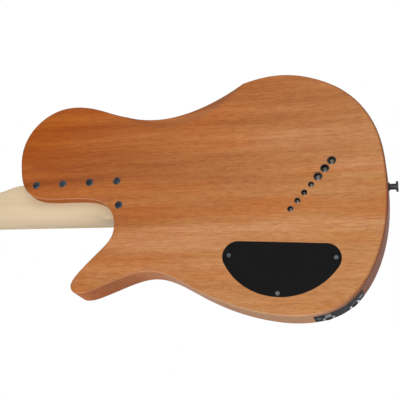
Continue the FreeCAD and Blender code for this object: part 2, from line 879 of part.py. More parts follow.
def pickup_screw_tops(share):
    centre, along = fan_frame(share)
    top_y = front_y - pickup_over_body
    tops = []
    for side in (-1, 1):
        point = centre + along * (side * (pickup_length / 2 - pickup_screw_inset))
        tops.append(V(point.x, top_y, point.z))
    return tops


def pickup_treble_end(share, inset):
    centre, along = fan_frame(share)
    return centre + along * (pickup_length / 2 - inset)


def wire_channels():
    """Drilled passages: neck pickup to bridge pickup, and bridge pickup to the controls."""
    y = front_y + pickup_cavity_depth - wire_channel_radius
    neck_end = pickup_treble_end(neck_pickup_share, pickup_corner * 2)
    bridge_end = pickup_treble_end(bridge_pickup_share, pickup_corner * 2)
    inner = moon_place(-moon_radius / 4, moon_ledge + pickup_corner, 0)
    return [
        (V(neck_end.x, y, neck_end.z), V(bridge_end.x, y, bridge_end.z)),
        (V(bridge_end.x, y, bridge_end.z), V(inner.x, y, inner.z)),
    ]


# Neck
def neck_points(z, back, bass_fullness, treble_fullness, bass_flat, treble_flat):
    """Points round the underside of one cross-section, from the treble edge to the bass edge."""
    half = board_half(z)
    deep = back - joint_y
    points = []
    for k in range(neck_flank_points + 1):
        points.append(flank_point(half, treble_flat, treble_fullness, deep, k / neck_flank_points, z))
    for k in range(1, neck_flat_points):
        at = k / neck_flat_points
        points.append(V(treble_flat + (-bass_flat - treble_flat) * at, back, z))
    for k in range(neck_flank_points, -1, -1):
        points.append(flank_point(-half, -bass_flat, bass_fullness, deep, k / neck_flank_points, z))
    return evenly_spaced(points, neck_round_points)


def evenly_spaced(points, count):
    """Points at equal steps along a chain of short straight runs, with the same first and last point."""
    reached = [0.0]
    for before, after in zip(points, points[1:]):
        reached.append(reached[-1] + (after - before).Length)
    spaced = [points[0]]
    at = 0
    for k in range(1, count - 1):
        wanted = reached[-1] * k / (count - 1)
        while reached[at + 1] < wanted:
            at += 1
        share = (wanted - reached[at]) / (reached[at + 1] - reached[at])
        spaced.append(points[at] + (points[at + 1] - points[at]) * share)
    return spaced + [points[-1]]


def flank_point(x_side, x_flat, fullness, deep, t, z):
    """A cubic from the joint plane, straight down at first, that runs out level with the back."""
    rest = 1 - t
    spread = x_side - x_flat
    early = 3 * rest * rest * t
    late = 3 * rest * t * t
    x = x_side * (rest ** 3 + early) + (x_flat + spread * fullness) * late + x_flat * t ** 3
    down = deep * (early * fullness + late + t ** 3)
    return V(x, joint_y + down, z)


def neck_depth(z):
    """Wood depth of the playable neck, thicker towards the body."""
    share = (z - treble_nut_z) / (neck_round_z - treble_nut_z)
    return neck_depth_first_fret + (neck_depth_last - neck_depth_first_fret) * share


def eased(t):
    """Runs from 0 to 1 with no slope and no curvature at either end."""
    return t * t * t * (t * (6 * t - 15) + 10)


def neck_stations():
    """Named cross-sections: z, back, bass and treble fullness, half widths of the flat as shares."""
    heel_back = pocket_y - neck_fit - neck_carve_step
    round_back = joint_y + neck_depth(neck_round_z)
    first_back = joint_y + neck_depth_first_fret
    end_back = head_back_y - neck_carve_step
    end_z = bass_nut_z + head_shelf_past_nut
    square, full, flat = heel_fullness_share, neck_fullness_share, neck_flat_share
    edge = heel_flat_share
    return [
        (heel_edge_start_z, heel_back, square, square, edge, edge),
        (heel_edge_round_z, heel_back, square, full, edge, flat),
        (heel_flat_end_z, heel_back, square, full, edge, flat),
        (neck_round_z, round_back, full, full, flat, flat),
        (treble_nut_z, first_back, full, full, flat, flat),
        (end_z - head_edge_radius, end_back, square, square, edge, edge),
        (end_z, end_back, square, square, edge, edge),
    ]


def neck_knots():
    """Where the spans of the neck's surface meet, as distances along the neck."""
    knots = []
    stations = neck_stations()
    for low, high in zip(stations, stations[1:]):
        length = high[0] - low[0]
        steps = max(2, int(math.ceil(length / neck_row_spacing)))
        knots += [low[0] + length * k / steps for k in range(steps)]
    return knots + [stations[-1][0]]


def neck_underside(knots):
    """Rows of poles, each at the mean of its own knots, so that the spline runs evenly along the neck."""
    padded = [knots[0]] * neck_degree + knots + [knots[-1]] * neck_degree
    rows = []
    for k in range(len(knots) + neck_degree - 1):
        rows.append(neck_section(sum(padded[k + 1:k + 1 + neck_degree]) / neck_degree))
    return rows


def neck_section(z):
    """The cross-section at z, a blend of the two nearest named ones."""
    stations = neck_stations()
    for low, high in zip(stations, stations[1:]):
        if z <= high[0]:
            break
    return blended(low, high, (z - low[0]) / (high[0] - low[0]))


def blended(low, high, t):
    z = low[0] + (high[0] - low[0]) * t
    values = [a + (b - a) * eased(t) for a, b in zip(low[1:], high[1:])]
    back, bass_fullness, treble_fullness, bass_share, treble_share = values
    half = board_half(z)
    return neck_points(z, back, bass_fullness, treble_fullness, half * bass_share, half * treble_share)


def clamped_knots(pole_count):
    """Evenly spaced knots that make a spline start and end on its outer poles."""
    inner = pole_count - neck_degree - 1
    knots = [float(k) for k in range(inner + 2)]
    return knots, [neck_degree + 1] + [1] * inner + [neck_degree + 1]


def neck_shaft():
    """The carved neck: one smooth underside closed by the joint plane and two end faces."""
    along_knots = neck_knots()
    rows = neck_underside(along_knots)
    ends_held = neck_degree + 1
    along_multiplicities = [ends_held] + [1] * (len(along_knots) - 2) + [ends_held]
    round_knots, round_multiplicities = clamped_knots(len(rows[0]))
    surface = Part.BSplineSurface()
    surface.buildFromPolesMultsKnots(
        rows, along_multiplicities, round_multiplicities, along_knots, round_knots,
        False, False, neck_degree, neck_degree,
    )
    under = surface.toShape()
    first, last = rows[0][0].z, rows[-1][0].z
    near = edge_radius / 1000
    sides = []
    ends = []
    for edge in under.Edges:
        (ends if edge.BoundBox.ZLength < near else sides).append(edge)
    ends.sort(key=lambda edge: edge.BoundBox.ZMin)
    lids = [Part.LineSegment(row[-1], row[0]).toShape() for row in (rows[0], rows[-1])]
    faces = [under, Part.Face(Part.Wire(Part.__sortEdges__(sides + lids)))]
    for end, lid in zip(ends, lids):
        faces.append(Part.Face(Part.Wire(Part.__sortEdges__([end, lid]))))
    shell = Part.makeShell(faces)
    shell.sewShape()
    shaft = Part.makeSolid(shell)
    if shaft.Volume < 0:
        shaft.reverse()
    return shaft


def make_neck():
    heel_back = pocket_y - neck_fit
    end_z = bass_nut_z + head_shelf_past_nut
    neck = plate(heel_outline(0.0, heel_edge_start_z), joint_y, heel_back)
    neck = neck.fuse(neck_shaft()).fuse(make_head(end_z))
    neck = neck.removeSplitter()
    for i in range(string_count):
        x, z = post_place(i)
        size = tuner_of(i)
        low = V(x, head_face_y - cut_overrun, z)
        high = V(x, head_back_y + cut_overrun, z)
        neck = neck.cut(round_rod(size["hole_radius"] + tuner_running_gap, low, high))
        at = case_screw_place(i)
        above = at + V(0, cut_overrun, 0)
        neck = neck.cut(round_rod(case_screw_radius + screw_fit, above, at - V(0, case_screw_length, 0)))
    rod_low, rod_high = rod_span()
    half = rod_width / 2 + rod_fit
    low_z = rod_low - rod_channel_overrun
    high_z = rod_high + rod_fit
    channel = plate(
        [(-half, low_z), (half, low_z), (half, high_z), (-half, high_z)],
        joint_y - cut_overrun, joint_y + rod_height + rod_fit,
    )
    neck = neck.cut(channel)
    for x, from_tail in neck_screw_places:
        z = tail_z + from_tail
        tip = neck_screw_top_y() - neck_screw_length - screw_fit
        neck = neck.cut(round_rod(neck_screw_radius + screw_fit, V(x, tip, z), V(x, back_y, z)))
    return neck


def make_head(start_z):
    half = board_half(start_z)
    corners = [V(half, head_face_y, start_z)]
    for x, z in head_outline_shares:
        corners.append(V(x * head_half_width, head_face_y, bass_nut_z + z * head_length))
    corners.append(V(-half, head_face_y, start_z))
    side = Part.BSplineCurve()
    side.interpolate(Points=corners)
    wire = Part.Wire([side.toShape(), Part.LineSegment(corners[-1], corners[0]).toShape()])
    head = Part.Face(wire).extrude(V(0, head_thickness, 0))
    outer = []
    for e in head.Edges:
        box = e.BoundBox
        if box.YLength < head_edge_radius and box.ZLength > head_length / 2:
            outer.append(e)
    head = head.makeFillet(head_edge_radius, outer)
    step = head_face_y - joint_y
    end_z = start_z + math.sqrt(head_ramp_radius ** 2 - (head_ramp_radius - step) ** 2)
    ramp = plate(
        [(-half, start_z), (half, start_z), (half, end_z), (-half, end_z)],
        joint_y, head_face_y + head_edge_radius,
    )
    axis_y = head_face_y - head_ramp_radius
    hollow = round_rod(head_ramp_radius, V(-2 * half, axis_y, end_z), V(2 * half, axis_y, end_z))
    return head.fuse(ramp.cut(hollow))


def rod_span():
    bass, treble = fan_line(board_end_share)
    wheel = wheel_centre()
    return wheel.z + wheel_thickness / 2 + wheel_spindle_length, nut_mid_z - rod_end_before_nut


def make_truss_rod():
    low, high = rod_span()
    half = rod_width / 2
    corners = [(-half, low), (half, low), (half, high), (-half, high)]
    bar = plate(corners, joint_y + rod_fit, joint_y + rod_height)
    wheel = wheel_centre()
    hole_end = V(0, wheel.y, low + wheel_spindle_length + wheel_gap)
    return bar.cut(round_rod(wheel_spindle_radius + wheel_fit, V(0, wheel.y, low), hole_end))


def make_wheel():
    wheel = wheel_centre()
    low = V(0, wheel.y, wheel.z - wheel_thickness / 2)
    high = V(0, wheel.y, wheel.z + wheel_thickness / 2)
    tip = V(0, wheel.y, high.z + 2 * wheel_spindle_length)
    solid = round_rod(wheel_radius, low, high).fuse(round_rod(wheel_spindle_radius, high, tip))
    for k in range(wheel_hole_count):
        angle = 2 * math.pi * k / wheel_hole_count + math.pi / 2
        way = V(math.cos(angle), -math.sin(angle), 0)
        inner = V(0, wheel.y, wheel.z) + way * (wheel_radius * wheel_hole_share)
        solid = solid.cut(round_rod(wheel_hole_radius, inner, inner + way * wheel_radius))
    return solid


# Fretboard, frets, nut and markers
def make_board():
    low_bass, low_treble = fan_line(board_end_share)
    top_bass, top_treble = fan_line(1.0)
    board = plate([low_bass, low_treble, top_treble, top_bass], board_top_y, joint_y)
    slot_depth = fret_tang_depth + fret_slot_extra
    slot_inset = fret_end_inset - fret_slot_extra
    for n in range(1, fret_count + 1):
        board = board.cut(fret_bar(n, fret_slot_extra / 2, slot_depth, slot_inset))
    for at in face_dots():
        above = V(at.x, board_top_y - cut_overrun, at.z)
        deep = V(at.x, board_top_y + dot_depth + dot_fit, at.z)
        board = board.cut(round_rod(face_dot_radius + dot_fit, above, deep))
    for at, inward in side_dots():
        deep = at + inward * (dot_depth + dot_fit)
        board = board.cut(round_rod(side_dot_radius + dot_fit, at - inward * cut_overrun, deep))
    return board


def fret_share(n):
    return 0.5 ** (n / 12)


def fret_bar(n, extra, depth, inset):
    """The tang of fret n as a thin slab; extra widens it for the slot."""
    bass, treble = fan_line(fret_share(n), inset)
    along = V(treble[0] - bass[0], 0, treble[1] - bass[1])
    side = V(-along.z, 0, along.x).normalize() * (fret_tang_width / 2 + extra)
    a = V(bass[0], 0, bass[1])
    b = V(treble[0], 0, treble[1])
    corners = [a - side, b - side, b + side, a + side]
    return plate([(c.x, c.z) for c in corners], board_top_y, board_top_y + depth)


def make_fret(n):
    bass, treble = fan_line(fret_share(n), fret_end_inset)
    start = V(bass[0], board_top_y, bass[1])
    along = V(treble[0] - bass[0], 0, treble[1] - bass[1])
    side = V(-along.z, 0, along.x).normalize() * (fret_crown_width / 2)
    crown = Part.Wire([
        Part.Arc(start - side, start - V(0, fret_crown_height, 0), start + side).toShape(),
        Part.LineSegment(start + side, start - side).toShape(),
    ])
    return Part.Face(crown).extrude(along).fuse(fret_bar(n, 0.0, fret_tang_depth, fret_end_inset))


def between_frets(n, across):
    """A place midway between frets n-1 and n; across runs from -1 bass to 1 treble."""
    share = (fret_share(n - 1) + fret_share(n)) / 2
    bass, treble = fan_line(share)
    at = (across + 1) / 2
    return V(bass[0] + (treble[0] - bass[0]) * at, board_top_y, bass[1] + (treble[1] - bass[1]) * at)


def face_dots():
    places = [between_frets(n, 0) for n in single_dot_frets]
    return places + [between_frets(double_dot_fret, side * double_dot_share) for side in (-1, 1)]


def side_dots():
    dots = []
    for n in single_dot_frets + [double_dot_fret]:
        at = between_frets(n, -1)
        inward = V(1, 0, edge_slope).normalize()
        dots.append((V(at.x, board_top_y + side_dot_below_top, at.z), inward))
    return dots


def make_markers():
    dots = [round_rod(face_dot_radius, at, at + V(0, dot_depth, 0)) for at in face_dots()]
    return dots + [round_rod(side_dot_radius, at, at + inward * dot_depth) for at, inward in side_dots()]


def make_nut():
    bass, treble = fan_line(1.0)
    past = nut_width
    top_y = string_y(0, 1) - nut_top_over_string
    nut = plate([bass, treble, (treble[0], treble[1] + past), (bass[0], bass[1] + past)], top_y, joint_y)
    upper = [e for e in nut.Edges if abs(e.BoundBox.YMax - top_y) < nut_top_over_string / 10]
    nut = nut.makeFillet(nut_top_over_string, upper)
    for i in range(string_count):
        x, z = nut_place(i)
        wide = string_radii[i] + string_clearance
        y = string_y(i, 1)
        nut = nut.cut(string_solid(i, string_clearance))
        low = z - past * 2
        high = z + past * 3
        corners = [(x - wide, low), (x + wide, low), (x + wide, high), (x - wide, high)]
        nut = nut.cut(plate(corners, top_y - cut_overrun, y))
    return nut


# Tuners
def case_screw_place(i):
    """The ear of the tuner's case, with the screw's head facing the back."""
    x, z = post_place(i)
    size = tuner_of(i)
    return V(x, head_back_y + case_ear_height, z + size["case_up"] + case_ear_length / 2)


def gear_offset(i):
    size = tuner_of(i)
    return size["gear_radius"] + size["worm_radius"] + gear_gap


def key_axis_point(i):
    x, z = post_place(i)
    return V(x, head_back_y + tuner_of(i)["case_height"] / 2, z - gear_offset(i))


def make_case(i):
    size = tuner_of(i)
    x, z = post_place(i)
    side = tuner_side(i)
    low_y = head_back_y
    high_y = head_back_y + size["case_height"]
    inner_x = x - side * size["case_inner"]
    outer_x = x + side * size["case_outer"]
    box = plate([(inner_x, z - size["case_down"]), (outer_x, z - size["case_down"]),
                 (outer_x, z + size["case_up"]), (inner_x, z + size["case_up"])], low_y, high_y)
    soft = [e for e in box.Edges if e.BoundBox.YMax > low_y + case_corner_radius]
    box = box.makeFillet(case_corner_radius, soft)
    at = case_screw_place(i)
    ear_half = case_ear_length / 2
    root_z = z + size["case_up"] - case_corner_radius * 2
    corners = [(x - ear_half, root_z), (x + ear_half, root_z), (x + ear_half, at.z), (x - ear_half, at.z)]
    ear = plate(corners, low_y, at.y)
    ear = ear.fuse(round_rod(ear_half, V(x, low_y, at.z), V(x, at.y, at.z)))
    case = box.fuse(ear)
    middle_y = (low_y + high_y) / 2
    gear_half = size["gear_height"] / 2 + gear_gap
    low = V(x, middle_y - gear_half, z)
    high = V(x, middle_y + gear_half, z)
    case = case.cut(round_rod(size["gear_radius"] + gear_gap, low, high))
    axis = key_axis_point(i)
    worm_half = size["worm_length"] / 2 + gear_gap
    out = V(side, 0, 0)
    case = case.cut(round_rod(size["worm_radius"] + gear_gap, axis - out * worm_half, axis + out * worm_half))
    mouth = axis + out * (size["case_outer"] + cut_overrun)
    end = axis - out * (worm_half + case_wall)
    case = case.cut(round_rod(size["shaft_radius"] + tuner_running_gap, end, mouth))
    top = V(x, low_y - cut_overrun, z)
    foot = size["post_radius"] * post_foot_share
    floor = V(x, high_y - case_wall, z)
    case = case.cut(round_rod(foot + tuner_running_gap, top, floor))
    hole = screw_hole(case_screw_radius, case_screw_head_radius, case_screw_head_height, case_screw_length,
                      at, V(0, -1, 0), screw_fit)
    return case.cut(hole)


def make_post(i):
    size = tuner_of(i)
    x, z = post_place(i)
    high_y = head_back_y + size["case_height"]
    middle_y = head_back_y + size["case_height"] / 2
    radius = size["post_radius"]
    waist = radius - post_waist_depth
    foot = radius * post_foot_share
    gear_low = high_y - case_wall - tuner_running_gap
    up = V(0, -1, 0)
    start = V(x, gear_low, z)
    gear_half = size["gear_height"] / 2
    lowest = gear_low - middle_y
    bush_inner = head_back_y - tuner_running_gap
    waist_low = gear_low - (head_face_y - size["bush_height"] - winding_over_bush / 2)
    top = gear_low - (head_face_y - size["post_height"])
    bevel = size["tip_height"] * tip_bevel_share
    profile = [
        (0, 0), (0, foot), (lowest - gear_half, foot), (lowest - gear_half, size["gear_radius"]),
        (lowest + gear_half, size["gear_radius"]), (lowest + gear_half, foot),
        (gear_low - bush_inner, foot), (gear_low - bush_inner, radius),
        (waist_low, radius), (waist_low, waist), (top - size["tip_height"], waist),
        (top - size["tip_height"], radius), (top - bevel, radius),
        (top, radius - bevel), (top, 0),
    ]
    post = turned(profile, start, up)
    slot_half = string_radii[i] + string_clearance * 2
    tip_y = head_face_y - size["post_height"]
    left, right = x - radius * 2, x + radius * 2
    corners = [(left, z - slot_half), (right, z - slot_half), (right, z + slot_half), (left, z + slot_half)]
    return post.cut(plate(corners, tip_y - cut_overrun, tip_y + size["tip_height"]))


def make_winding(i):
    """The wound string on its post: a helix that starts where the string arrives."""
    x, z = post_place(i)
    side = tuner_side(i)
    centre = V(x, winding_top_y(i), z)
    start_deg = 180 if side > 0 else 0
    hand = -1 if side > 0 else 1
    turns = tuner_of(i)["turns"]
    edges, direction = helix_edges(centre, winding_radius(i), winding_pitch(i), turns, start_deg, hand)
    start = centre + V(-side * winding_radius(i), 0, 0)
    gap = least_gap(centre, winding_radius(i), winding_pitch(i), turns, string_radii[i])
    print("winding", i + 1, "least gap to itself", round(gap, 3))
    return tube_on(edges, string_radii[i], start, direction)


def least_gap(centre, radius, pitch, turns, wire):
    """The least distance between points of the helix more than half a turn apart, less the wire."""
    steps = gap_steps_per_turn
    count = int(steps * turns)
    points = []
    for n in range(count + 1):
        angle = 2 * math.pi * n / steps
        points.append(centre + V(radius * math.cos(angle), pitch * n / steps, radius * math.sin(angle)))
    least = 2 * radius
    for n in range(count + 1):
        for m in range(n + steps // 2, count + 1):
            least = min(least, (points[n] - points[m]).Length)
    return least - 2 * wire


def make_bushing(i):
    size = tuner_of(i)
    x, z = post_place(i)
    top_y = head_face_y - size["bush_height"]
    outer = round_rod(size["hole_radius"], V(x, head_face_y, z), V(x, head_back_y, z))
    if i < bass_string_count:
        collar = round_rod(size["bush_radius"], V(x, head_face_y, z), V(x, top_y, z))
        rim = [e for e in collar.Edges if abs(e.BoundBox.YMax - top_y) < size["bush_height"] / 10]
        collar = collar.makeFillet(size["bush_height"] * bush_round_share, rim)
    else:
        points = []
        for k in range(nut_sides):
            angle = 2 * math.pi * k / nut_sides
            across = size["bush_radius"] * math.cos(angle)
            points.append((x + across, z + size["bush_radius"] * math.sin(angle)))
        collar = plate(points, top_y, head_face_y)
        trim = size["bush_radius"] * bush_corner_share
        collar = collar.common(round_rod(trim, V(x, head_face_y, z), V(x, top_y, z)))
    bore_low = V(x, head_back_y + cut_overrun, z)
    bore = round_rod(size["post_radius"] + tuner_running_gap, bore_low, V(x, top_y - cut_overrun, z))
    return outer.fuse(collar).cut(bore)


def make_key(i):
    """Worm shaft and its button; both turn about the shaft."""
    size = tuner_of(i)
    side = tuner_side(i)
    axis = key_axis_point(i)
    out = V(side, 0, 0)
    worm_half = size["worm_length"] / 2
    inner = axis - out * (worm_half + case_wall)
    edge_x = head_edge_x(i)
    start = V(edge_x + side * size["button_gap"], axis.y, axis.z)
    bite = size["button_length"] * key_bite_share
    shaft = round_rod(size["shaft_radius"], inner, start + out * bite)
    shaft = shaft.fuse(round_rod(size["worm_radius"], axis - out * worm_half, axis + out * worm_half))
    collar_radius = size["shaft_radius"] * key_collar_share
    collar = round_rod(collar_radius, start - out * size["shaft_radius"], start)
    shaft = shaft.fuse(collar)
    button = key_button(size, start, side)
    button = button.cut(round_rod(size["shaft_radius"], start, start + out * bite))
    return [shaft, button]


def key_button(size, start, side):
    """An oval button: a lens outline across the shaft, slimmer than it is tall, with soft edges."""
    half_height = size["button_height"] / 2
    half_thick = size["button_thickness"] / 2
    length = size["button_length"]
    neck_half = half_height * button_root_share
    x0 = start.x
    x1 = start.x + side * length * button_widest_share
    x2 = start.x + side * length
    y = start.y - half_thick
    low = V(x0, y, start.z - neck_half)
    high = V(x0, y, start.z + neck_half)
    top = V(x1, y, start.z + half_height)
    end = V(x2, y, start.z)
    bottom = V(x1, y, start.z - half_height)
    outline = Part.BSplineCurve()
    outline.interpolate(Points=[high, top, end, bottom, low])
    wire = Part.Wire([outline.toShape(), Part.LineSegment(low, high).toShape()])
    button = Part.Face(wire).extrude(V(0, size["button_thickness"], 0))
    rims = [e for e in button.Edges if e.BoundBox.YLength < half_thick / 10]
    return button.makeFillet(half_thick * button_round_share, rims)


def head_edge_x(i):
    """The headstock's edge beside a key, read from the outline's shares."""
    axis_z = key_axis_point(i).z
    side = tuner_side(i)
    share = (axis_z - bass_nut_z) / head_length
    flank = [p for p in head_outline_shares if p[0] * side > 0]
    widest = 0.0
    for (x_a, z_a), (x_b, z_b) in zip(flank, flank[1:]):
        if min(z_a, z_b) <= share <= max(z_a, z_b):
            at = (share - z_a) / (z_b - z_a)
            widest = max(widest, abs(x_a + (x_b - x_a) * at))
    return side * widest * head_half_width


# Bridge
def make_base(i):
    x, z = saddle_place(i)
    hole_z = z - ferrule_behind_saddle
    half = base_width / 2
    low = hole_z - base_behind_hole
    high = hole_z + base_ahead_of_hole
    top_y = base_top_y()
    base = plate([(x - half, low), (x + half, low), (x + half, high), (x - half, high)], top_y, front_y)
    for side in (-1, 1):
        outer = x + side * half
        inner = x + side * (half - base_rail_width)
        corners = [(inner, low), (outer, low), (outer, high), (inner, high)]
        base = base.fuse(plate(corners, top_y - base_rail_height, top_y))
    lug_low = high - lug_thickness
    corners = [(x - half, lug_low), (x + half, lug_low), (x + half, high), (x - half, high)]
    lug = plate(corners, top_y - lug_height, top_y)
    base = base.fuse(lug).removeSplitter()
    down = V(0, 1, 0)
    hole_end = V(x, front_y + cut_overrun, hole_z)
    base = base.cut(round_rod(string_hole_radius, V(x, top_y - cut_overrun, hole_z), hole_end))
    for ahead in (-base_screw_behind_hole, base_screw_ahead_of_hole):
        top = V(x, top_y, hole_z + ahead)
        base = base.cut(screw_hole(base_screw_radius, base_screw_head_radius, base_screw_head_height,
                                   base_screw_length, top, down, screw_fit))
    screw_y = top_y - intonation_height
    start = V(x, screw_y, lug_low - cut_overrun)
    end = V(x, screw_y, high + cut_overrun)
    return base.cut(round_rod(intonation_radius + intonation_fit, start, end))


def saddle_groove(i):
    """The room that the string needs where it bends over the saddle's crest."""
    bend, crest, nut = string_points(i)[1:4]
    ahead = crest + (nut - crest).normalize() * saddle_length
    edges = rounded_path([bend, crest, ahead], [string_bend_radius])
    return tube_on(edges, string_radii[i] + string_clearance, bend, crest - bend)


def make_saddle(i):
    x, z = saddle_place(i)
    half = base_width / 2 - base_rail_width - saddle_side_fit
    floor_y = base_top_y() - saddle_bottom_fit
    crest_y = string_y(i, 0) + string_radii[i] + string_clearance
    low_y = floor_y - saddle_low_height
    back_z = z - saddle_length * saddle_ahead_share
    front_z = back_z + saddle_length
    crest = saddle_crest_radius
    shoulder_y = crest_y + crest * saddle_shoulder_share
    left = x - half
    points = [V(left, floor_y, back_z), V(left, low_y, back_z), V(left, shoulder_y, z - crest)]
    after = [V(left, shoulder_y, z + crest), V(left, low_y, front_z), V(left, floor_y, front_z)]
    edges = [
        Part.LineSegment(points[0], points[1]).toShape(),
        Part.LineSegment(points[1], points[2]).toShape(),
        Part.Arc(points[2], V(left, crest_y, z), after[0]).toShape(),
        Part.LineSegment(after[0], after[1]).toShape(),
        Part.LineSegment(after[1], after[2]).toShape(),
        Part.LineSegment(after[2], points[0]).toShape(),
    ]
    block = Part.Face(Part.Wire(edges)).extrude(V(2 * half, 0, 0)).cut(saddle_groove(i))
    screw_y = base_top_y() - intonation_height
    start = V(x, screw_y, back_z - cut_overrun)
    end = V(x, screw_y, front_z + cut_overrun)
    return block.cut(round_rod(intonation_radius + intonation_fit, start, end))


def make_intonation_screw(i):
    x, z = saddle_place(i)
    hole_z = z - ferrule_behind_saddle
    screw_y = base_top_y() - intonation_height
    face = V(x, screw_y, hole_z + base_ahead_of_hole)
    head = round_rod(intonation_head_radius, face, face + V(0, 0, intonation_head_length))
    rim = [e for e in head.Edges if abs(e.BoundBox.ZMin - face.z - intonation_head_length) < screw_fit]
    head = head.makeFillet(intonation_head_length * screw_head_round_share, rim)
    return head.fuse(round_rod(intonation_radius, face, face - V(0, 0, intonation_reach)))


# Ferrules
def make_ferrule(i):
    size = bass_ferrule if i < bass_string_count else guitar_ferrule
    x, z = saddle_place(i)
    top = V(x, back_y - ferrule_recess, z - ferrule_behind_saddle)
    radius = size["radius"]
    profile = [
        (0, radius - ferrule_rim), (ferrule_rim_height * ferrule_outer_bevel_share, radius),
        (size["length"], radius),
        (size["length"], size["bore"]), (size["depth"], size["bore"]), (size["depth"], size["seat"]),
        (ferrule_rim_height, size["seat"]), (0, size["seat"] + ferrule_rim * ferrule_inner_bevel_share),
    ]
    return turned(profile, top, V(0, -1, 0))


def make_ball(i):
    size = bass_ferrule if i < bass_string_count else guitar_ferrule
    x, z = saddle_place(i)
    seat = V(x, back_y - ferrule_recess - size["depth"], z - ferrule_behind_saddle)
    radius = size["seat"] * ball_radius_share
    height = size["depth"] * ball_length_share
    ball = round_rod(radius, seat, seat + V(0, height, 0))
    ball = ball.makeFillet(radius * ball_round_share, [e for e in ball.Edges if e.BoundBox.XLength > radius])
    hole = string_radii[i] + ball_gap
    return ball.cut(round_rod(hole, seat, seat + V(0, string_radii[i] * 2 + 2 * ball_gap, 0)))


# Pickups
def pickup_inner_length():
    """The hollow between the blocks that the pickup's screws pass through."""
    return pickup_length - 2 * pickup_wall - 4 * pickup_screw_inset


def make_pickup_cover(share):
    top_y = front_y - pickup_over_body
    low_y = top_y + pickup_height
    cover = fan_box(share, pickup_length, pickup_width, top_y, low_y, pickup_corner)
    rim = [e for e in cover.Edges if abs(e.BoundBox.YMax - top_y) < screw_fit]
    cover = cover.makeFillet(pickup_edge, rim)
    hollow = fan_box(
        share, pickup_inner_length(), pickup_width - 2 * pickup_wall,
        top_y + pickup_wall, low_y + cut_overrun, pickup_corner / 2,
    )
    cover = cover.cut(hollow)
    for top in pickup_screw_tops(share):
        hole = screw_hole(pickup_screw_radius, pickup_screw_head_radius, pickup_screw_head_height,
                          pickup_screw_length, top, V(0, 1, 0), screw_fit)
        cover = cover.cut(hole)
    return cover


def make_coils(share):
    """Two racetrack coils, each round a steel blade that stands on the cover's inside."""
    roof_y = front_y - pickup_over_body + pickup_wall
    length = pickup_inner_length() - pickup_wall
    top_y = roof_y + blade_above_coil
    floor_y = top_y + coil_height
    round_end = blade_width * blade_round_share
    solids = []
    for side in (-1, 1):
        across = side * coil_spacing / 2
        coil = fan_box(share, length, coil_width, top_y, floor_y, coil_width * coil_round_share, across)
        core = fan_box(
            share, length - coil_width, blade_width + 2 * screw_fit,
            top_y - cut_overrun, floor_y + cut_overrun, round_end, across,
        )
        blade_length = length - coil_width - 4 * screw_fit
        blade = fan_box(share, blade_length, blade_width, roof_y, floor_y, round_end, across)
        solids += [coil.cut(core), blade]
    width = pickup_width - 2 * pickup_wall - pickup_fit
    low_y = front_y - pickup_over_body + pickup_height
    return solids + [fan_box(share, length, width, floor_y, low_y, pickup_corner / 2)]


def make_foam(share):
    low_y = front_y - pickup_over_body + pickup_height
    return fan_box(share, foam_length, foam_width, low_y, front_y + pickup_cavity_depth, pickup_corner / 2)


# Controls
def make_pot(centre):
    floor = cavity_floor_y
    face = V(centre.x, floor, centre.z)
    can = round_rod(pot_radius, face, face + V(0, pot_height, 0))
    rim = [e for e in can.Edges if abs(e.BoundBox.YMin - floor - pot_height) < screw_fit]
    can = can.makeFillet(pot_radius * pot_round_share, rim)
    bush = round_rod(pot_bush_radius, face, face - V(0, pot_bush_height, 0))
    low = V(centre.x, floor + pot_shaft_depth, centre.z)
    bore = round_rod(pot_shaft_radius + pot_shaft_gap, low, face - V(0, pot_bush_height + cut_overrun, 0))
    left = centre.x - pot_radius * pot_lug_share
    right = centre.x + pot_radius * pot_lug_share
    lug_low = centre.z - pot_radius - wire_lift
    corners = [(left, lug_low), (right, lug_low), (right, centre.z), (left, centre.z)]
    lugs = plate(corners, floor, floor + pot_height * pot_lug_height_share)
    return can.fuse(bush).fuse(lugs).cut(bore)


def knob_bottom_y():
    return front_y - knob_lift


def make_knob(centre):
    bottom = knob_bottom_y()
    up = V(0, -1, 0)
    start = V(centre.x, bottom, centre.z)
    top = knob_height
    bore_depth = knob_height - knob_wall_over_shaft
    profile = [
        (0, knob_recess_radius), (0, knob_radius), (top - knob_bevel, knob_top_radius),
        (top, knob_top_radius - knob_bevel), (top, 0), (bore_depth, 0), (bore_depth, pot_shaft_radius),
        (knob_recess_depth, pot_shaft_radius), (knob_recess_depth, knob_recess_radius),
    ]
    knob = turned(profile, start, up)
    left = centre.x - knob_line_width / 2
    right = centre.x + knob_line_width / 2
    line_end = centre.z + 2 * knob_radius
    face_y = bottom - knob_height
    corners = [(left, centre.z), (right, centre.z), (right, line_end), (left, line_end)]
    knob = knob.cut(plate(corners, face_y - cut_overrun, face_y + knob_line_depth))
    low = V(centre.x, cavity_floor_y + pot_shaft_depth - pot_shaft_gap, centre.z)
    shaft = round_rod(pot_shaft_radius, low, V(centre.x, bottom - bore_depth, centre.z))
    return [knob, shaft]


def threaded_nut(outer, inner, face, way, height):
    """A six-sided nut on a bush, standing on face."""
    prism_points = []
    across = V(way.z, 0, -way.x)
    if across.Length < screw_fit:
        across = V(1, 0, 0)
    other = way.cross(across)
    for k in range(nut_sides):
        angle = 2 * math.pi * k / nut_sides
        prism_points.append(face + across * (outer * math.cos(angle)) + other * (outer * math.sin(angle)))
    prism = Part.Face(Part.makePolygon(prism_points + prism_points[:1])).extrude(way * height)
    return prism.cut(round_rod(inner, face - way * cut_overrun, face + way * (height + cut_overrun)))


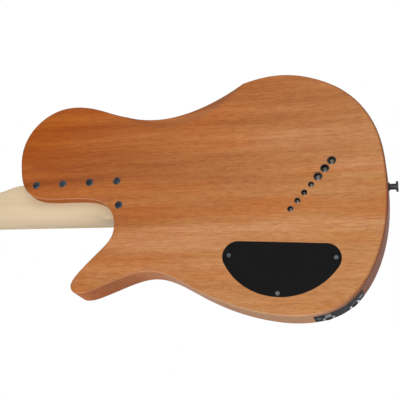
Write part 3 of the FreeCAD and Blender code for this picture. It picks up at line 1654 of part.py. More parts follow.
def control_nuts():
    up = V(0, -1, 0)
    nuts = []
    for centre in pot_centres:
        face = V(centre.x, front_y, centre.z)
        nuts.append(threaded_nut(pot_nut_radius, pot_bush_radius + screw_fit, face, up, pot_nut_height))
    face = V(switch_centre.x, front_y, switch_centre.z)
    nuts.append(threaded_nut(switch_nut_radius, switch_bush_radius + screw_fit, face, up, switch_nut_height))
    for share in jack_shares:
        way = jack_direction(share)
        face = jack_centre + way * jack_radius
        nuts.append(threaded_nut(jack_nut_radius, jack_bush_radius + screw_fit, face, way, jack_nut_height))
    return nuts


def make_switch():
    floor = cavity_floor_y
    half = switch_box / 2
    x, z = switch_centre.x, switch_centre.z
    corners = [(x - half, z - half), (x + half, z - half), (x + half, z + half), (x - half, z + half)]
    box = plate(corners, floor, floor + switch_box_height)
    bush = round_rod(switch_bush_radius, V(x, floor, z), V(x, floor - switch_bush_height, z))
    switch = box.fuse(bush)
    pivot = switch_pivot()
    rim_y = floor - switch_bush_height
    room = switch_ball_radius + switch_gap
    switch = switch.cut(Part.makeSphere(room, pivot))
    depth = pivot.y - rim_y
    tight = switch_lever_radius + switch_gap
    wide = tight + depth * math.tan(math.radians(switch_cone_deg))
    wide = min(wide, switch_bush_radius * switch_rim_share)
    cone = Part.makeCone(tight, wide, depth, pivot, V(0, -1, 0))
    below = round_rod(room, pivot, pivot + V(0, room, 0))
    return switch.cut(cone).cut(below)


def switch_pivot():
    return V(switch_centre.x, cavity_floor_y - switch_bush_height + switch_pivot_below_rim, switch_centre.z)


def make_lever():
    pivot = switch_pivot()
    up = V(0, -1, 0)
    ball = Part.makeSphere(switch_ball_radius, pivot)
    tip_start = switch_lever_length - switch_tip_length
    profile = [
        (0, 0), (0, switch_lever_radius), (tip_start, switch_lever_radius),
        (tip_start + switch_lever_tip_radius, switch_lever_tip_radius),
        (switch_lever_length - switch_lever_tip_radius * lever_tip_bevel_share, switch_lever_tip_radius),
        (switch_lever_length, switch_lever_tip_radius * lever_tip_end_share), (switch_lever_length, 0),
    ]
    return ball.fuse(turned(profile, pivot, up))


# Jacks
def make_jack_plate():
    sheet = jack_sector(jack_radius - jack_plate_thickness + screw_fit, jack_radius, 0.0)
    for share in jack_shares:
        way = jack_direction(share)
        low = jack_centre + way * (jack_radius - 2 * jack_plate_thickness)
        high = low + way * (4 * jack_plate_thickness)
        sheet = sheet.cut(round_rod(jack_bush_radius + screw_fit, low, high))
    for top, way in jack_screws():
        sheet = sheet.cut(screw_hole(plate_screw_radius, plate_screw_head_radius, plate_screw_head_height,
                                     plate_screw_length, top, way * -1, screw_fit))
    return sheet


def jack_screws():
    ways = [jack_direction(share) for share in jack_screw_shares]
    return [(jack_centre + way * jack_radius, way) for way in ways]


def jack_face_reach():
    """How far out the flat face of a jack's case can stand behind the curved plate."""
    inside = jack_radius - jack_plate_thickness
    return math.sqrt(inside ** 2 - jack_case_radius ** 2)


def make_jack(share):
    """A threaded bush through the plate with its case behind it, bored for the plug."""
    way = jack_direction(share)
    mouth = jack_centre + way * (jack_radius + jack_out)
    behind = jack_centre + way * jack_face_reach()
    bush = round_rod(jack_bush_radius, mouth, behind)
    case = round_rod(jack_case_radius, behind, behind - way * jack_case_length)
    bore = round_rod(jack_bore_radius, mouth + way * cut_overrun, mouth - way * jack_bore_length)
    return bush.fuse(case).cut(bore)


def make_control_cover():
    low_y = back_y - cover_recess - cover_thickness
    cover = half_moon(0.0, low_y, back_y - cover_recess)
    for top in cover_screw_tops:
        cover = cover.cut(screw_hole(plate_screw_radius, plate_screw_head_radius, plate_screw_head_height,
                                     plate_screw_length, top, V(0, -1, 0), screw_fit))
    return cover


def plate_screws():
    screws = []
    for top in cover_screw_tops:
        screws.append(countersunk(plate_screw_radius, plate_screw_head_radius, plate_screw_head_height,
                                  plate_screw_length, top, V(0, -1, 0)))
    for top, way in jack_screws():
        screws.append(countersunk(plate_screw_radius, plate_screw_head_radius, plate_screw_head_height,
                                  plate_screw_length, top, way * -1))
    return screws


# Strap buttons
def make_button(seat, outward):
    lip = button_head_thickness
    profile = [
        (0, 0), (0, button_base_radius), (button_base_height * button_step_share, button_base_radius),
        (button_base_height, button_neck_radius), (button_height - lip, button_neck_radius),
        (button_height - lip, button_head_radius), (button_height, button_head_radius), (button_height, 0),
    ]
    button = turned(profile, seat, outward)
    top = seat + outward * button_height
    hole = screw_hole(button_screw_radius, button_screw_head_radius, button_screw_head_height,
                      button_screw_depth, top, outward * -1, screw_fit)
    return button.cut(hole)


def make_button_screw(seat, outward):
    top = seat + outward * button_height
    return countersunk(button_screw_radius, button_screw_head_radius, button_screw_head_height,
                       button_screw_depth, top, outward * -1)


# Neck fixing
def neck_screw_top_y():
    return back_y - cup_recess - (cup_height - cup_floor)


def make_cup(x, z):
    top = V(x, back_y - cup_recess, z)
    seat = cup_height - cup_floor
    inner = cup_radius - cup_wall
    bevel = cup_wall * cup_bevel_share
    profile = [
        (0, inner), (0, cup_radius - bevel), (bevel, cup_radius), (cup_height, cup_radius),
        (cup_height, neck_screw_radius + screw_fit), (seat, neck_screw_radius + screw_fit), (seat, inner),
    ]
    return turned(profile, top, V(0, -1, 0))


def make_neck_screw(x, z):
    """A pan-headed screw standing on the cup's floor, with a cross slot."""
    floor = V(x, neck_screw_top_y(), z)
    head_top = floor + V(0, neck_screw_head_height, 0)
    head = round_rod(neck_screw_head_radius, floor, head_top)
    rim = [e for e in head.Edges if abs(e.BoundBox.YMin - head_top.y) < screw_fit]
    head = head.makeFillet(neck_screw_head_height * neck_screw_round_share, rim)
    shank = round_rod(neck_screw_radius, floor - V(0, neck_screw_length - neck_screw_radius, 0), floor)
    slot_long = neck_screw_head_radius * cross_length_share
    slot_half = neck_screw_head_radius * cross_width_share
    deep = head_top.y - neck_screw_head_height * cross_depth_share
    for a, b in ((slot_long, slot_half), (slot_half, slot_long)):
        corners = [(x - a, z - b), (x + a, z - b), (x + a, z + b), (x - a, z + b)]
        head = head.cut(plate(corners, deep, head_top.y + cut_overrun))
    return head.fuse(shank)


# Wiring
def wire_tube(points, radii):
    edges = rounded_path(points, radii)
    return tube_on(edges, wire_radius, points[0], points[1] - points[0])


def make_wiring():
    """Leads from the pickups through the drilled passages, and from the pots to the jacks."""
    wires = []
    bend = wire_bend_radius
    rest = V(0, wire_channel_radius - wire_radius - screw_fit, 0)
    for low, high in wire_channels():
        away = (high - low).normalize()
        start = low + rest + away * (wire_gap + pickup_corner)
        end = high + rest
        middle = (start + end) / 2 - V(0, wire_radius, 0)
        wires.append(wire_tube([start, middle, end], [bend * long_bend_share]))
    for number, share in enumerate(jack_shares):
        way = jack_direction(share)
        end = jack_centre + way * (jack_face_reach() - jack_case_length)
        pot = pot_centres[1 + number]
        start = V(pot.x, cavity_floor_y + pot_height, pot.z)
        lift = V(start.x, start.y + 2 * bend, start.z)
        turn = V(end.x, lift.y, end.z) - way * jack_lead_run
        bends = [bend * short_bend_share, bend * short_bend_share, bend * end_bend_share]
        wires.append(wire_tube([start, lift, turn, end - way * (bend / 2), end], bends))
    return wires


def main():
    block, curve = body_block()
    save("body", make_body(block, curve))
    save("neck", make_neck())
    save("truss_rod", make_truss_rod())
    save("truss_wheel", make_wheel())
    save("fretboard", make_board())
    save("frets", [make_fret(n) for n in range(1, fret_count + 1)])
    save("position_markers", make_markers())
    save("nut", make_nut())
    save("strings", [string_solid(i) for i in range(string_count)])
    save("ball_ends", [make_ball(i) for i in range(string_count)])
    save("bass_ferrules", [make_ferrule(i) for i in range(bass_string_count)])
    save("guitar_ferrules", [make_ferrule(i) for i in range(bass_string_count, string_count)])
    save("bridge_bases", [make_base(i) for i in range(string_count)])
    base_screws = []
    for i in range(string_count):
        x, z = saddle_place(i)
        for ahead in (-base_screw_behind_hole, base_screw_ahead_of_hole):
            top = V(x, base_top_y(), z - ferrule_behind_saddle + ahead)
            base_screws.append(countersunk(base_screw_radius, base_screw_head_radius, base_screw_head_height,
                                           base_screw_length, top, V(0, 1, 0)))
    save("bridge_screws", base_screws)
    save("intonation_screws", [make_intonation_screw(i) for i in range(string_count)])
    for i in range(string_count):
        number = str(i + 1)
        save("saddle_" + number, make_saddle(i))
        save("tuner_key_" + number, make_key(i))
        save("tuner_post_" + number, [make_post(i), make_winding(i)])
    save("tuner_housings", [make_case(i) for i in range(string_count)])
    save("tuner_bushings", [make_bushing(i) for i in range(string_count)])
    case_screws = []
    for i in range(string_count):
        case_screws.append(countersunk(case_screw_radius, case_screw_head_radius, case_screw_head_height,
                                       case_screw_length, case_screw_place(i), V(0, -1, 0)))
    save("tuner_screws", case_screws)
    save("neck_pickup_cover", make_pickup_cover(neck_pickup_share))
    save("bridge_pickup_cover", make_pickup_cover(bridge_pickup_share))
    save("pickup_coils", make_coils(neck_pickup_share) + make_coils(bridge_pickup_share))
    save("pickup_foam", [make_foam(neck_pickup_share), make_foam(bridge_pickup_share)])
    pickup_screws = []
    for share in (neck_pickup_share, bridge_pickup_share):
        for top in pickup_screw_tops(share):
            pickup_screws.append(countersunk(pickup_screw_radius, pickup_screw_head_radius,
                                             pickup_screw_head_height, pickup_screw_length, top, V(0, 1, 0)))
    save("pickup_screws", pickup_screws)
    save("control_pots", [make_pot(centre) for centre in pot_centres])
    for number, centre in enumerate(pot_centres, start=1):
        save("knob_" + str(number), make_knob(centre))
    save("toggle_switch", make_switch())
    save("toggle_lever", make_lever())
    save("control_nuts", control_nuts())
    save("jack_plate", make_jack_plate())
    save("jack_sockets", [make_jack(share) for share in jack_shares])
    save("control_cover", make_control_cover())
    save("plate_screws", plate_screws())
    frames = button_frames(curve)
    save("strap_buttons", [make_button(seat, outward) for seat, outward in frames])
    save("strap_screws", [make_button_screw(seat, outward) for seat, outward in frames])
    places = [(x, tail_z + from_tail) for x, from_tail in neck_screw_places]
    save("neck_screw_cups", [make_cup(x, z) for x, z in places])
    save("neck_screws", [make_neck_screw(x, z) for x, z in places])
    save("wiring", make_wiring())


main()
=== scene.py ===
import math

import bmesh
import bpy
from mathutils import Matrix, Vector


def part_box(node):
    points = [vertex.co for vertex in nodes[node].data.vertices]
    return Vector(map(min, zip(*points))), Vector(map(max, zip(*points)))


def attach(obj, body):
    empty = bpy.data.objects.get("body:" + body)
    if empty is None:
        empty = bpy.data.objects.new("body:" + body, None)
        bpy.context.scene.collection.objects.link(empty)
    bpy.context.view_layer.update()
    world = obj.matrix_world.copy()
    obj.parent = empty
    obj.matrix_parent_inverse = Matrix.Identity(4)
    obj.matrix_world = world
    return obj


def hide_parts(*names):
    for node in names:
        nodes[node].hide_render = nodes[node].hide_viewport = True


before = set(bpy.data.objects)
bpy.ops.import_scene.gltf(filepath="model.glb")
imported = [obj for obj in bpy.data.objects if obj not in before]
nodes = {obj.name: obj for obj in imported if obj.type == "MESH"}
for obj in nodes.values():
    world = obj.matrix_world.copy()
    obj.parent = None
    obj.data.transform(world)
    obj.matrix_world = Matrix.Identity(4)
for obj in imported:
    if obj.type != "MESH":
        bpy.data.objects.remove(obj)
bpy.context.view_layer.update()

# Metres, in the frame of the CAD model:
# +Z to the headstock, -Y the playing side, +X the treble side.
MM = 0.001
WHITE = (1.0, 1.0, 1.0, 1.0)

# Counts and sizes that the pieces below share with the CAD model
string_count = 7
knob_count = 3
fret_count = 22
frets_to_half_length = 12
saddle_half = 30.0 * MM
nut_half = 18.45 * MM
board_edge_at_saddle = 2.9 * MM
board_edge_at_nut = 2.5 * MM
bass_scale = 723.9 * MM
treble_scale = 647.7 * MM
tail_z = 10.0 * MM
bass_saddle_z = tail_z + 80.0 * MM
treble_saddle_z = bass_saddle_z + 48.0 * MM
board_top_y = -25.0 * MM
fret_inset = 0.6 * MM
fret_width = 2.4 * MM
fret_height = 1.1 * MM
tang_width = 0.6 * MM
tang_depth = 1.8 * MM

# The knobs' ridges and the strings' winding, which the CAD model doesn't have
ridge_count = 64
ridge_width = 0.36 * MM
ridge_foot_radius = 9.5 * MM
ridge_top_radius = 8.4 * MM
ridge_rim_gap = 1.8 * MM
winding_pitch = 0.8 * MM
last_wound_x = 3.5 * MM
first_plain_x = 4.5 * MM

# Points closer than this are one point
weld_reach = 0.00001


def srgb(red, green, blue):
    """A colour seen in the picture as 0 to 255, as the linear colour that a shader takes."""
    values = []
    for part in (red, green, blue):
        share = part / 255
        values.append(share / 12.92 if share <= 0.04045 else ((share + 0.055) / 1.055) ** 2.4)
    return (*values, 1.0)


def link_object(name, data):
    piece = bpy.data.objects.new(name, data)
    bpy.context.scene.collection.objects.link(piece)
    return piece


# Camera and light
def make_camera():
    """The picture's viewpoint: behind the back, past the tail, with the neck to the left."""
    place = Vector((0.3682, 0.8627, -0.030))
    picture_right = Vector((-0.0646, -0.2729, -0.9599)).normalized()
    picture_up = Vector((-0.9259, 0.3753, -0.0444)).normalized()
    towards_viewer = picture_right.cross(picture_up).normalized()
    picture_up = towards_viewer.cross(picture_right)
    turn = Matrix((picture_right, picture_up, towards_viewer)).transposed()
    lens = bpy.data.cameras.new("camera")
    lens.lens = 70.1
    lens.sensor_width = 36.0
    lens.clip_start = 0.05
    lens.clip_end = 50.0
    camera = link_object("camera", lens)
    camera.matrix_world = Matrix.Translation(place) @ turn.to_4x4()
    bpy.context.scene.camera = camera


def make_lamp(name, place, width, power, tint=(1.0, 1.0, 1.0)):
    """A square soft lamp that faces the middle of the instrument."""
    middle = Vector((0.0, 0.0, 0.3))
    light = bpy.data.lights.new(name, "AREA")
    light.shape = "SQUARE"
    light.size = width
    light.energy = power
    light.color = tint
    lamp = link_object(name, light)
    lamp.location = place
    lamp.rotation_euler = (middle - Vector(place)).to_track_quat("-Z", "Y").to_euler()


def add_backdrop(tree, strength):
    node = tree.nodes.new("ShaderNodeBackground")
    node.inputs["Color"].default_value = WHITE
    node.inputs["Strength"].default_value = strength
    return node.outputs["Background"]


def make_studio():
    """Four soft lamps in a white room that lights less than it shines to the camera."""
    room_light = 0.52
    room_seen = 1.0
    warm = (1.0, 0.98, 0.96)
    make_lamp("viewer_side_lamp", (0.75, 1.75, 0.15), width=0.9, power=21.0, tint=warm)
    make_lamp("bass_side_lamp", (-1.2, 1.1, 0.7), width=1.2, power=5.0)
    make_lamp("front_lamp", (-0.6, -1.8, 0.9), width=1.4, power=20.0)
    make_lamp("treble_side_lamp", (1.9, 0.1, 0.6), width=1.2, power=4.0)
    world = bpy.data.worlds.new("studio")
    world.use_nodes = True
    tree = world.node_tree
    tree.nodes.clear()
    path = tree.nodes.new("ShaderNodeLightPath")
    mix = tree.nodes.new("ShaderNodeMixShader")
    out = tree.nodes.new("ShaderNodeOutputWorld")
    tree.links.new(path.outputs["Is Camera Ray"], mix.inputs["Fac"])
    tree.links.new(add_backdrop(tree, room_light), mix.inputs[1])
    tree.links.new(add_backdrop(tree, room_seen), mix.inputs[2])
    tree.links.new(mix.outputs["Shader"], out.inputs["Surface"])
    bpy.context.scene.world = world
    bpy.context.scene.view_settings.view_transform = "Standard"


def make_floor():
    """A plain pale floor, well below the tail.

    It looks as white as the backdrop, but lights the object no more than a pale floor does.
    """
    reach = 6.0
    floor_z = -0.16
    glow_light = 0.25
    glow_seen = 0.58
    mesh = bpy.data.meshes.new("floor")
    ring = [(-reach, -reach), (reach, -reach), (reach, reach), (-reach, reach)]
    mesh.from_pydata([(x, y, floor_z) for x, y in ring], [], [(0, 1, 2, 3)])
    floor = link_object("floor", mesh)
    pale = bpy.data.materials.new("pale_floor")
    pale.use_nodes = True
    tree = pale.node_tree
    surface = tree.nodes["Principled BSDF"]
    surface.inputs["Base Color"].default_value = (0.86, 0.86, 0.86, 1.0)
    surface.inputs["Roughness"].default_value = 0.8
    surface.inputs["Emission Color"].default_value = WHITE
    path = tree.nodes.new("ShaderNodeLightPath")
    glow = tree.nodes.new("ShaderNodeMapRange")
    glow.inputs["To Min"].default_value = glow_light
    glow.inputs["To Max"].default_value = glow_seen
    tree.links.new(path.outputs["Is Camera Ray"], glow.inputs["Value"])
    tree.links.new(glow.outputs["Result"], surface.inputs["Emission Strength"])
    mesh.materials.append(pale)


# Shader building blocks
class Shop:
    """Adds and joins the nodes of one material or node group."""

    # The colour sockets of a Mix node, which has a set for each kind of data
    mix_share, mix_first, mix_second, mix_result = 0, 6, 7, 2

    def __init__(self, tree):
        self.tree = tree

    def add(self, kind, settings=None, **inputs):
        node = self.tree.nodes.new(kind)
        for name, value in (settings or {}).items():
            setattr(node, name, value)
        for name, value in inputs.items():
            self.feed(node, name.replace("_", " "), value)
        return node

    def feed(self, node, socket, value):
        target = node.inputs[socket]
        if isinstance(value, bpy.types.NodeSocket):
            self.tree.links.new(value, target)
        else:
            target.default_value = value

    def math(self, operation, first, second=0.0, clamp=False):
        node = self.add("ShaderNodeMath", {"operation": operation, "use_clamp": clamp})
        self.feed(node, 0, first)
        self.feed(node, 1, second)
        return node.outputs[0]

    def mix(self, share, first, second, kind="MIX"):
        node = self.add("ShaderNodeMix", {"data_type": "RGBA", "blend_type": kind})
        self.feed(node, self.mix_share, share)
        self.feed(node, self.mix_first, first)
        self.feed(node, self.mix_second, second)
        return node.outputs[self.mix_result]

    def ramp(self, value, stops):
        """Colours along a value; each stop is a place from 0 to 1 and its colour."""
        node = self.add("ShaderNodeValToRGB")
        bar = node.color_ramp
        while len(bar.elements) < len(stops):
            bar.elements.new(0.5)
        for element, (place, colour) in zip(bar.elements, stops):
            element.position = place
            element.color = colour
        self.feed(node, 0, value)
        return node.outputs[0]

    def spread(self, value, low, high, out_low=0.0, out_high=1.0):
        """Takes low to out_low and high to out_high, and stays there beyond them."""
        node = self.add("ShaderNodeMapRange")
        for slot, number in enumerate((value, low, high, out_low, out_high)):
            self.feed(node, slot, number)
        return node.outputs[0]

    def noise(self, vector, scale, detail, rough):
        node = self.add("ShaderNodeTexNoise", Vector=vector, Scale=scale, Detail=detail,
                        Roughness=rough)
        return node.outputs[0]

    def stretch(self, vector, scale, place=(0.0, 0.0, 0.0)):
        return self.add("ShaderNodeMapping", Vector=vector, Location=place, Scale=scale).outputs[0]

    def split(self, vector):
        return self.add("ShaderNodeSeparateXYZ", Vector=vector).outputs


def new_group(name, inputs, outputs):
    """A shader node group; each input is its name, its kind and its value or None."""
    tree = bpy.data.node_groups.new(name, "ShaderNodeTree")
    for label, kind, value in inputs:
        socket = tree.interface.new_socket(label, in_out="INPUT", socket_type=kind)
        if value is not None:
            socket.default_value = value
    for label in outputs:
        tree.interface.new_socket(label, in_out="OUTPUT", socket_type="NodeSocketFloat")
    source = tree.nodes.new("NodeGroupInput")
    sink = tree.nodes.new("NodeGroupOutput")
    return tree, Shop(tree), source.outputs, sink.inputs


def make_timber_group():
    """Grain along Z: broad figure, fine lines, short dark pores and a height for the bump."""
    tree, shop, given, result = new_group(
        "timber_grain",
        [("Vector", "NodeSocketVector", None), ("Line Scale", "NodeSocketFloat", 160.0),
         ("Band Scale", "NodeSocketFloat", 16.0), ("Pore Amount", "NodeSocketFloat", 0.5)],
        ["Figure", "Lines", "Pores", "Height"],
    )
    sway_reach = 8.0 * MM
    pores_to_lines = 6.0
    line_height = 0.3
    figure_stretch = (1.0, 0.6, 0.07)
    line_stretch = (1.0, 0.7, 0.035)
    pore_stretch = (1.0, 0.8, 0.055)
    wander = shop.stretch(given["Vector"], (3.0, 3.0, 1.6))
    sway = shop.noise(wander, scale=1.0, detail=2.0, rough=0.5)
    sideways = shop.spread(sway, 0.3, 0.7, -sway_reach, sway_reach)
    shift = shop.add("ShaderNodeCombineXYZ", X=sideways, Y=sideways)
    moved = shop.add("ShaderNodeVectorMath", {"operation": "ADD"})
    shop.feed(moved, 0, given["Vector"])
    shop.feed(moved, 1, shift.outputs[0])
    bent = moved.outputs[0]
    figure = shop.noise(shop.stretch(bent, figure_stretch), given["Band Scale"],
                        detail=3.0, rough=0.55)
    lines = shop.noise(shop.stretch(bent, line_stretch), given["Line Scale"],
                       detail=5.0, rough=0.6)
    pore_scale = shop.math("MULTIPLY", given["Line Scale"], pores_to_lines)
    pore_seed = shop.noise(shop.stretch(bent, pore_stretch), pore_scale, detail=2.0, rough=0.6)
    pores = shop.math("MULTIPLY", shop.spread(pore_seed, 0.60, 0.70), given["Pore Amount"])
    height = shop.math("SUBTRACT", shop.math("MULTIPLY", lines, line_height), pores)
    for label, value in (("Figure", figure), ("Lines", lines), ("Pores", pores),
                         ("Height", height)):
        tree.links.new(value, result[label])
    return tree


def make_handling_group():
    """Fine grit and faint smudges, for metals and plastics that are touched."""
    tree, shop, given, result = new_group(
        "handling_marks",
        [("Vector", "NodeSocketVector", None), ("Grit Scale", "NodeSocketFloat", 2500.0),
         ("Smudge Scale", "NodeSocketFloat", 60.0)],
        ["Grit", "Smudges"],
    )
    grit = shop.noise(given["Vector"], given["Grit Scale"], detail=3.0, rough=0.6)
    smudges = shop.noise(given["Vector"], given["Smudge Scale"], detail=4.0, rough=0.6)
    tree.links.new(grit, result["Grit"])
    tree.links.new(smudges, result["Smudges"])
    return tree


timber_group = make_timber_group()
handling_group = make_handling_group()


def new_material(name):
    material = bpy.data.materials.new(name)
    material.use_nodes = True
    shop = Shop(material.node_tree)
    surface = material.node_tree.nodes["Principled BSDF"]
    place = shop.add("ShaderNodeTexCoord").outputs["Object"]
    return material, shop, surface, place


def use_group(shop, tree, vector, **values):
    return shop.add("ShaderNodeGroup", {"node_tree": tree}, Vector=vector, **values).outputs


def bump(shop, surface, height, strength, depth):
    node = shop.add("ShaderNodeBump", Height=height, Strength=strength, Distance=depth)
    shop.tree.links.new(node.outputs[0], surface.inputs["Normal"])


def body_face(shop, grain, place, axes):
    """Colour of the flat faces: richer towards the bass bout and paler at the tail."""
    pale = shop.ramp(grain["Figure"], [
        (0.30, srgb(168, 115, 69)), (0.45, srgb(178, 127, 79)),
        (0.58, srgb(184, 135, 90)), (0.72, srgb(194, 150, 110)),
    ])
    rich = shop.ramp(grain["Figure"], [
        (0.30, srgb(130, 58, 8)), (0.45, srgb(147, 72, 12)),
        (0.58, srgb(157, 81, 18)), (0.72, srgb(170, 94, 28)),
    ])
    blush_tone = srgb(176, 101, 44)
    streak_tone = srgb(198, 138, 96)
    fleck_tone = srgb(226, 202, 178)
    pore_tone = srgb(96, 44, 20)
    streak_depth = 0.8
    pore_depth = 0.6
    along = shop.math("MULTIPLY", axes["Z"], 1.8)
    across = shop.math("MULTIPLY", axes["X"], 2.2)
    toned = shop.math("SUBTRACT", along, across, clamp=True)
    blush_place = shop.stretch(place, (1.0, 0.6, 0.15), (0.13, 0.0, 0.05))
    blush_seed = shop.noise(blush_place, scale=30.0, detail=3.0, rough=0.55)
    blush = shop.spread(blush_seed, 0.50, 0.68, 0.0, 0.5)
    broad = shop.mix(blush, shop.mix(toned, pale, rich), blush_tone)
    dark_lines = shop.spread(grain["Lines"], 0.58, 0.36, 0.0, 0.32)
    dark = shop.mix(streak_depth, broad, streak_tone, "MULTIPLY")
    streaked = shop.mix(dark_lines, broad, dark)
    mottle = shop.noise(shop.stretch(place, (1.0, 1.0, 0.13)), scale=640.0, detail=3.0, rough=0.65)
    flecks = shop.spread(mottle, 0.56, 0.42, 0.0, 0.5)
    flecked = shop.mix(flecks, streaked, shop.mix(1.0, streaked, fleck_tone, "MULTIPLY"))
    return shop.mix(shop.math("MULTIPLY", grain["Pores"], pore_depth), flecked, pore_tone)


def body_edge(shop, face, facing):
    """The back's rounded edge: a painted highlight on the treble side, painted shade on the bass
    side.
    """
    edge_highlight_tone = srgb(222, 188, 152)
    edge_shade_tone = srgb(84, 34, 18)
    edge_highlight_depth = 0.7
    edge_shade_depth = 0.6
    rise = shop.spread(facing["Y"], 0.25, 0.45)
    fall = shop.spread(facing["Y"], 0.80, 0.62)
    rounded = shop.math("MULTIPLY", rise, fall)
    lit_treble_side = shop.spread(facing["X"], -0.05, 0.25, 0.0, 0.55)
    shaded_bass_side = shop.spread(facing["X"], -0.1, -0.45, 0.0, 0.6)
    # Painted highlight where the rounded edge faces the treble side and the light
    highlit_edge = shop.mix(shop.math("MULTIPLY", rounded, lit_treble_side), face,
                      shop.mix(edge_highlight_depth, face, edge_highlight_tone))
    # Painted shade where the rounded edge faces the bass side, away from the light
    return shop.mix(shop.math("MULTIPLY", rounded, shaded_bass_side), highlit_edge,
                    shop.mix(edge_shade_depth, face, edge_shade_tone))


def body_wall(shop, face, edged, facing, axes):
    """The side walls: those facing the treble side get painted light, pale with a painted
    reflection at the tail and orange at the horn; the end grain facing the tail gets painted
    shade.
    """
    painted_sheen_tone = srgb(182, 152, 132)
    horn_lit_tone = srgb(190, 96, 42)
    tail_shade_tone = srgb(84, 28, 18)
    lit_wall_depth = 0.7
    tail_shade_depth = 0.88
    # Painted light on the walls that face the treble side: a pale painted reflection towards the
    # tail, orange towards the horn
    lit_treble_side = shop.spread(facing["X"], 0.45, 0.95, 0.0, 0.45)
    towards_horn = shop.spread(axes["Z"], 0.16, 0.34)
    lit_wall_tone = shop.mix(towards_horn, painted_sheen_tone, horn_lit_tone)
    lit_walls = shop.mix(lit_treble_side, edged, shop.mix(lit_wall_depth, face, lit_wall_tone))
    # Painted shade on the walls that face the tail, which get little light
    tail_facing_shade = shop.spread(facing["Z"], -0.08, -0.70, 0.0, 0.9)
    return shop.mix(tail_facing_shade, lit_walls, shop.mix(tail_shade_depth, face, tail_shade_tone))


def body_timber():
    """Oiled orange-brown wood, with its own edges and side walls."""
    material, shop, surface, place = new_material("body_timber")
    grain = use_group(shop, timber_group, place,
                      Line_Scale=330.0, Band_Scale=34.0, Pore_Amount=0.7)
    axes = shop.split(place)
    facing = shop.split(shop.add("ShaderNodeTexCoord").outputs["Normal"])
    face = body_face(shop, grain, place, axes)
    edged = body_edge(shop, face, facing)
    shop.feed(surface, "Base Color", body_wall(shop, face, edged, facing, axes))
    shop.feed(surface, "Roughness", shop.spread(grain["Lines"], 0.3, 0.7, 0.6, 0.48))
    shop.feed(surface, "Specular IOR Level", 0.12)
    bump(shop, surface, grain["Height"], strength=0.35, depth=0.4 * MM)
    return material


def pale_timber(name, low, middle, high, band, line):
    """Maple: tight pale grain with a faint figure and a satin finish."""
    streak_share = 0.3
    material, shop, surface, place = new_material(name)
    grain = use_group(shop, timber_group, place,
                      Line_Scale=line, Band_Scale=band, Pore_Amount=0.15)
    broad = shop.ramp(grain["Figure"], [(0.30, low), (0.50, middle), (0.70, high)])
    streak = shop.ramp(grain["Lines"], [(0.35, low), (0.65, high)])
    shop.feed(surface, "Base Color", shop.mix(streak_share, broad, streak))
    shop.feed(surface, "Roughness", shop.spread(grain["Lines"], 0.3, 0.7, 0.46, 0.38))
    shop.feed(surface, "Coat Weight", 0.2)
    shop.feed(surface, "Coat Roughness", 0.25)
    bump(shop, surface, grain["Height"], strength=0.12, depth=0.2 * MM)
    return material


def handled(name, colour, lift, rough_low, rough_high, metallic=0.0, grit=0.0, coat=0.0,
            shine=0.5):
    """A metal or plastic whose sheen varies where it is touched.

    lift is the colour of its paler patches, which have the second of the two roughnesses.
    """
    material, shop, surface, place = new_material(name)
    marks = use_group(shop, handling_group, place)
    tone = shop.mix(shop.spread(marks["Smudges"], 0.35, 0.75), colour, lift)
    shop.feed(surface, "Base Color", tone)
    rough = shop.spread(marks["Smudges"], 0.3, 0.7, rough_low, rough_high)
    shop.feed(surface, "Roughness", rough)
    shop.feed(surface, "Metallic", metallic)
    shop.feed(surface, "Coat Weight", coat)
    shop.feed(surface, "Specular IOR Level", shine)
    if grit > 0:
        bump(shop, surface, marks["Grit"], strength=grit, depth=0.1 * MM)
    return material


def string_metal():
    """Bright wire; the bass strings carry a fine winding that the plain treble strings lack."""
    material = handled("string_wire", srgb(196, 192, 184), srgb(214, 210, 202), 0.22, 0.34,
                       metallic=1.0)
    shop = Shop(material.node_tree)
    surface = material.node_tree.nodes["Principled BSDF"]
    axes = shop.split(shop.add("ShaderNodeTexCoord").outputs["Object"])
    turns = shop.math("SINE", shop.math("MULTIPLY", axes["Z"], 2 * math.pi / winding_pitch))
    wound = shop.spread(axes["X"], last_wound_x, first_plain_x, 1.0, 0.0)
    bump(shop, surface, shop.math("MULTIPLY", turns, wound), strength=0.7, depth=0.1 * MM)
    return material


def plain_look(node, material):
    """A CAD node that keeps its shape gets one material on all its faces."""
    piece = nodes[node]
    piece.data.materials.clear()
    piece.data.materials.append(material)
    for polygon in piece.data.polygons:
        polygon.material_index = 0


# Geometry Nodes: pieces that repeat, or that follow a path
class TreeMaker:
    """A Geometry Nodes tree with named inputs."""

    def __init__(self, name, inputs):
        self.tree = bpy.data.node_groups.new(name, "GeometryNodeTree")
        sockets = self.tree.interface
        sockets.new_socket("Geometry", in_out="INPUT", socket_type="NodeSocketGeometry")
        for label, kind in inputs:
            sockets.new_socket(label, in_out="INPUT", socket_type=kind)
        sockets.new_socket("Geometry", in_out="OUTPUT", socket_type="NodeSocketGeometry")
        self.given = self.tree.nodes.new("NodeGroupInput").outputs
        self.result = self.tree.nodes.new("NodeGroupOutput").inputs

    def add(self, kind, feeds=None, **settings):
        """Adds a node; feeds gives its inputs by name or number, the rest are its settings."""
        node = self.tree.nodes.new(kind)
        for name, value in settings.items():
            setattr(node, name, value)
        for socket, value in (feeds or {}).items():
            if isinstance(value, bpy.types.NodeSocket):
                self.tree.links.new(value, node.inputs[socket])
            else:
                node.inputs[socket].default_value = value
        return node

    def finish(self, geometry):
        real = self.add("GeometryNodeRealizeInstances", {0: geometry}).outputs[0]
        painted = self.add("GeometryNodeSetMaterial", {
            "Geometry": real, "Material": self.given["Material"],
        })
        self.tree.links.new(painted.outputs[0], self.result["Geometry"])
        return self.tree


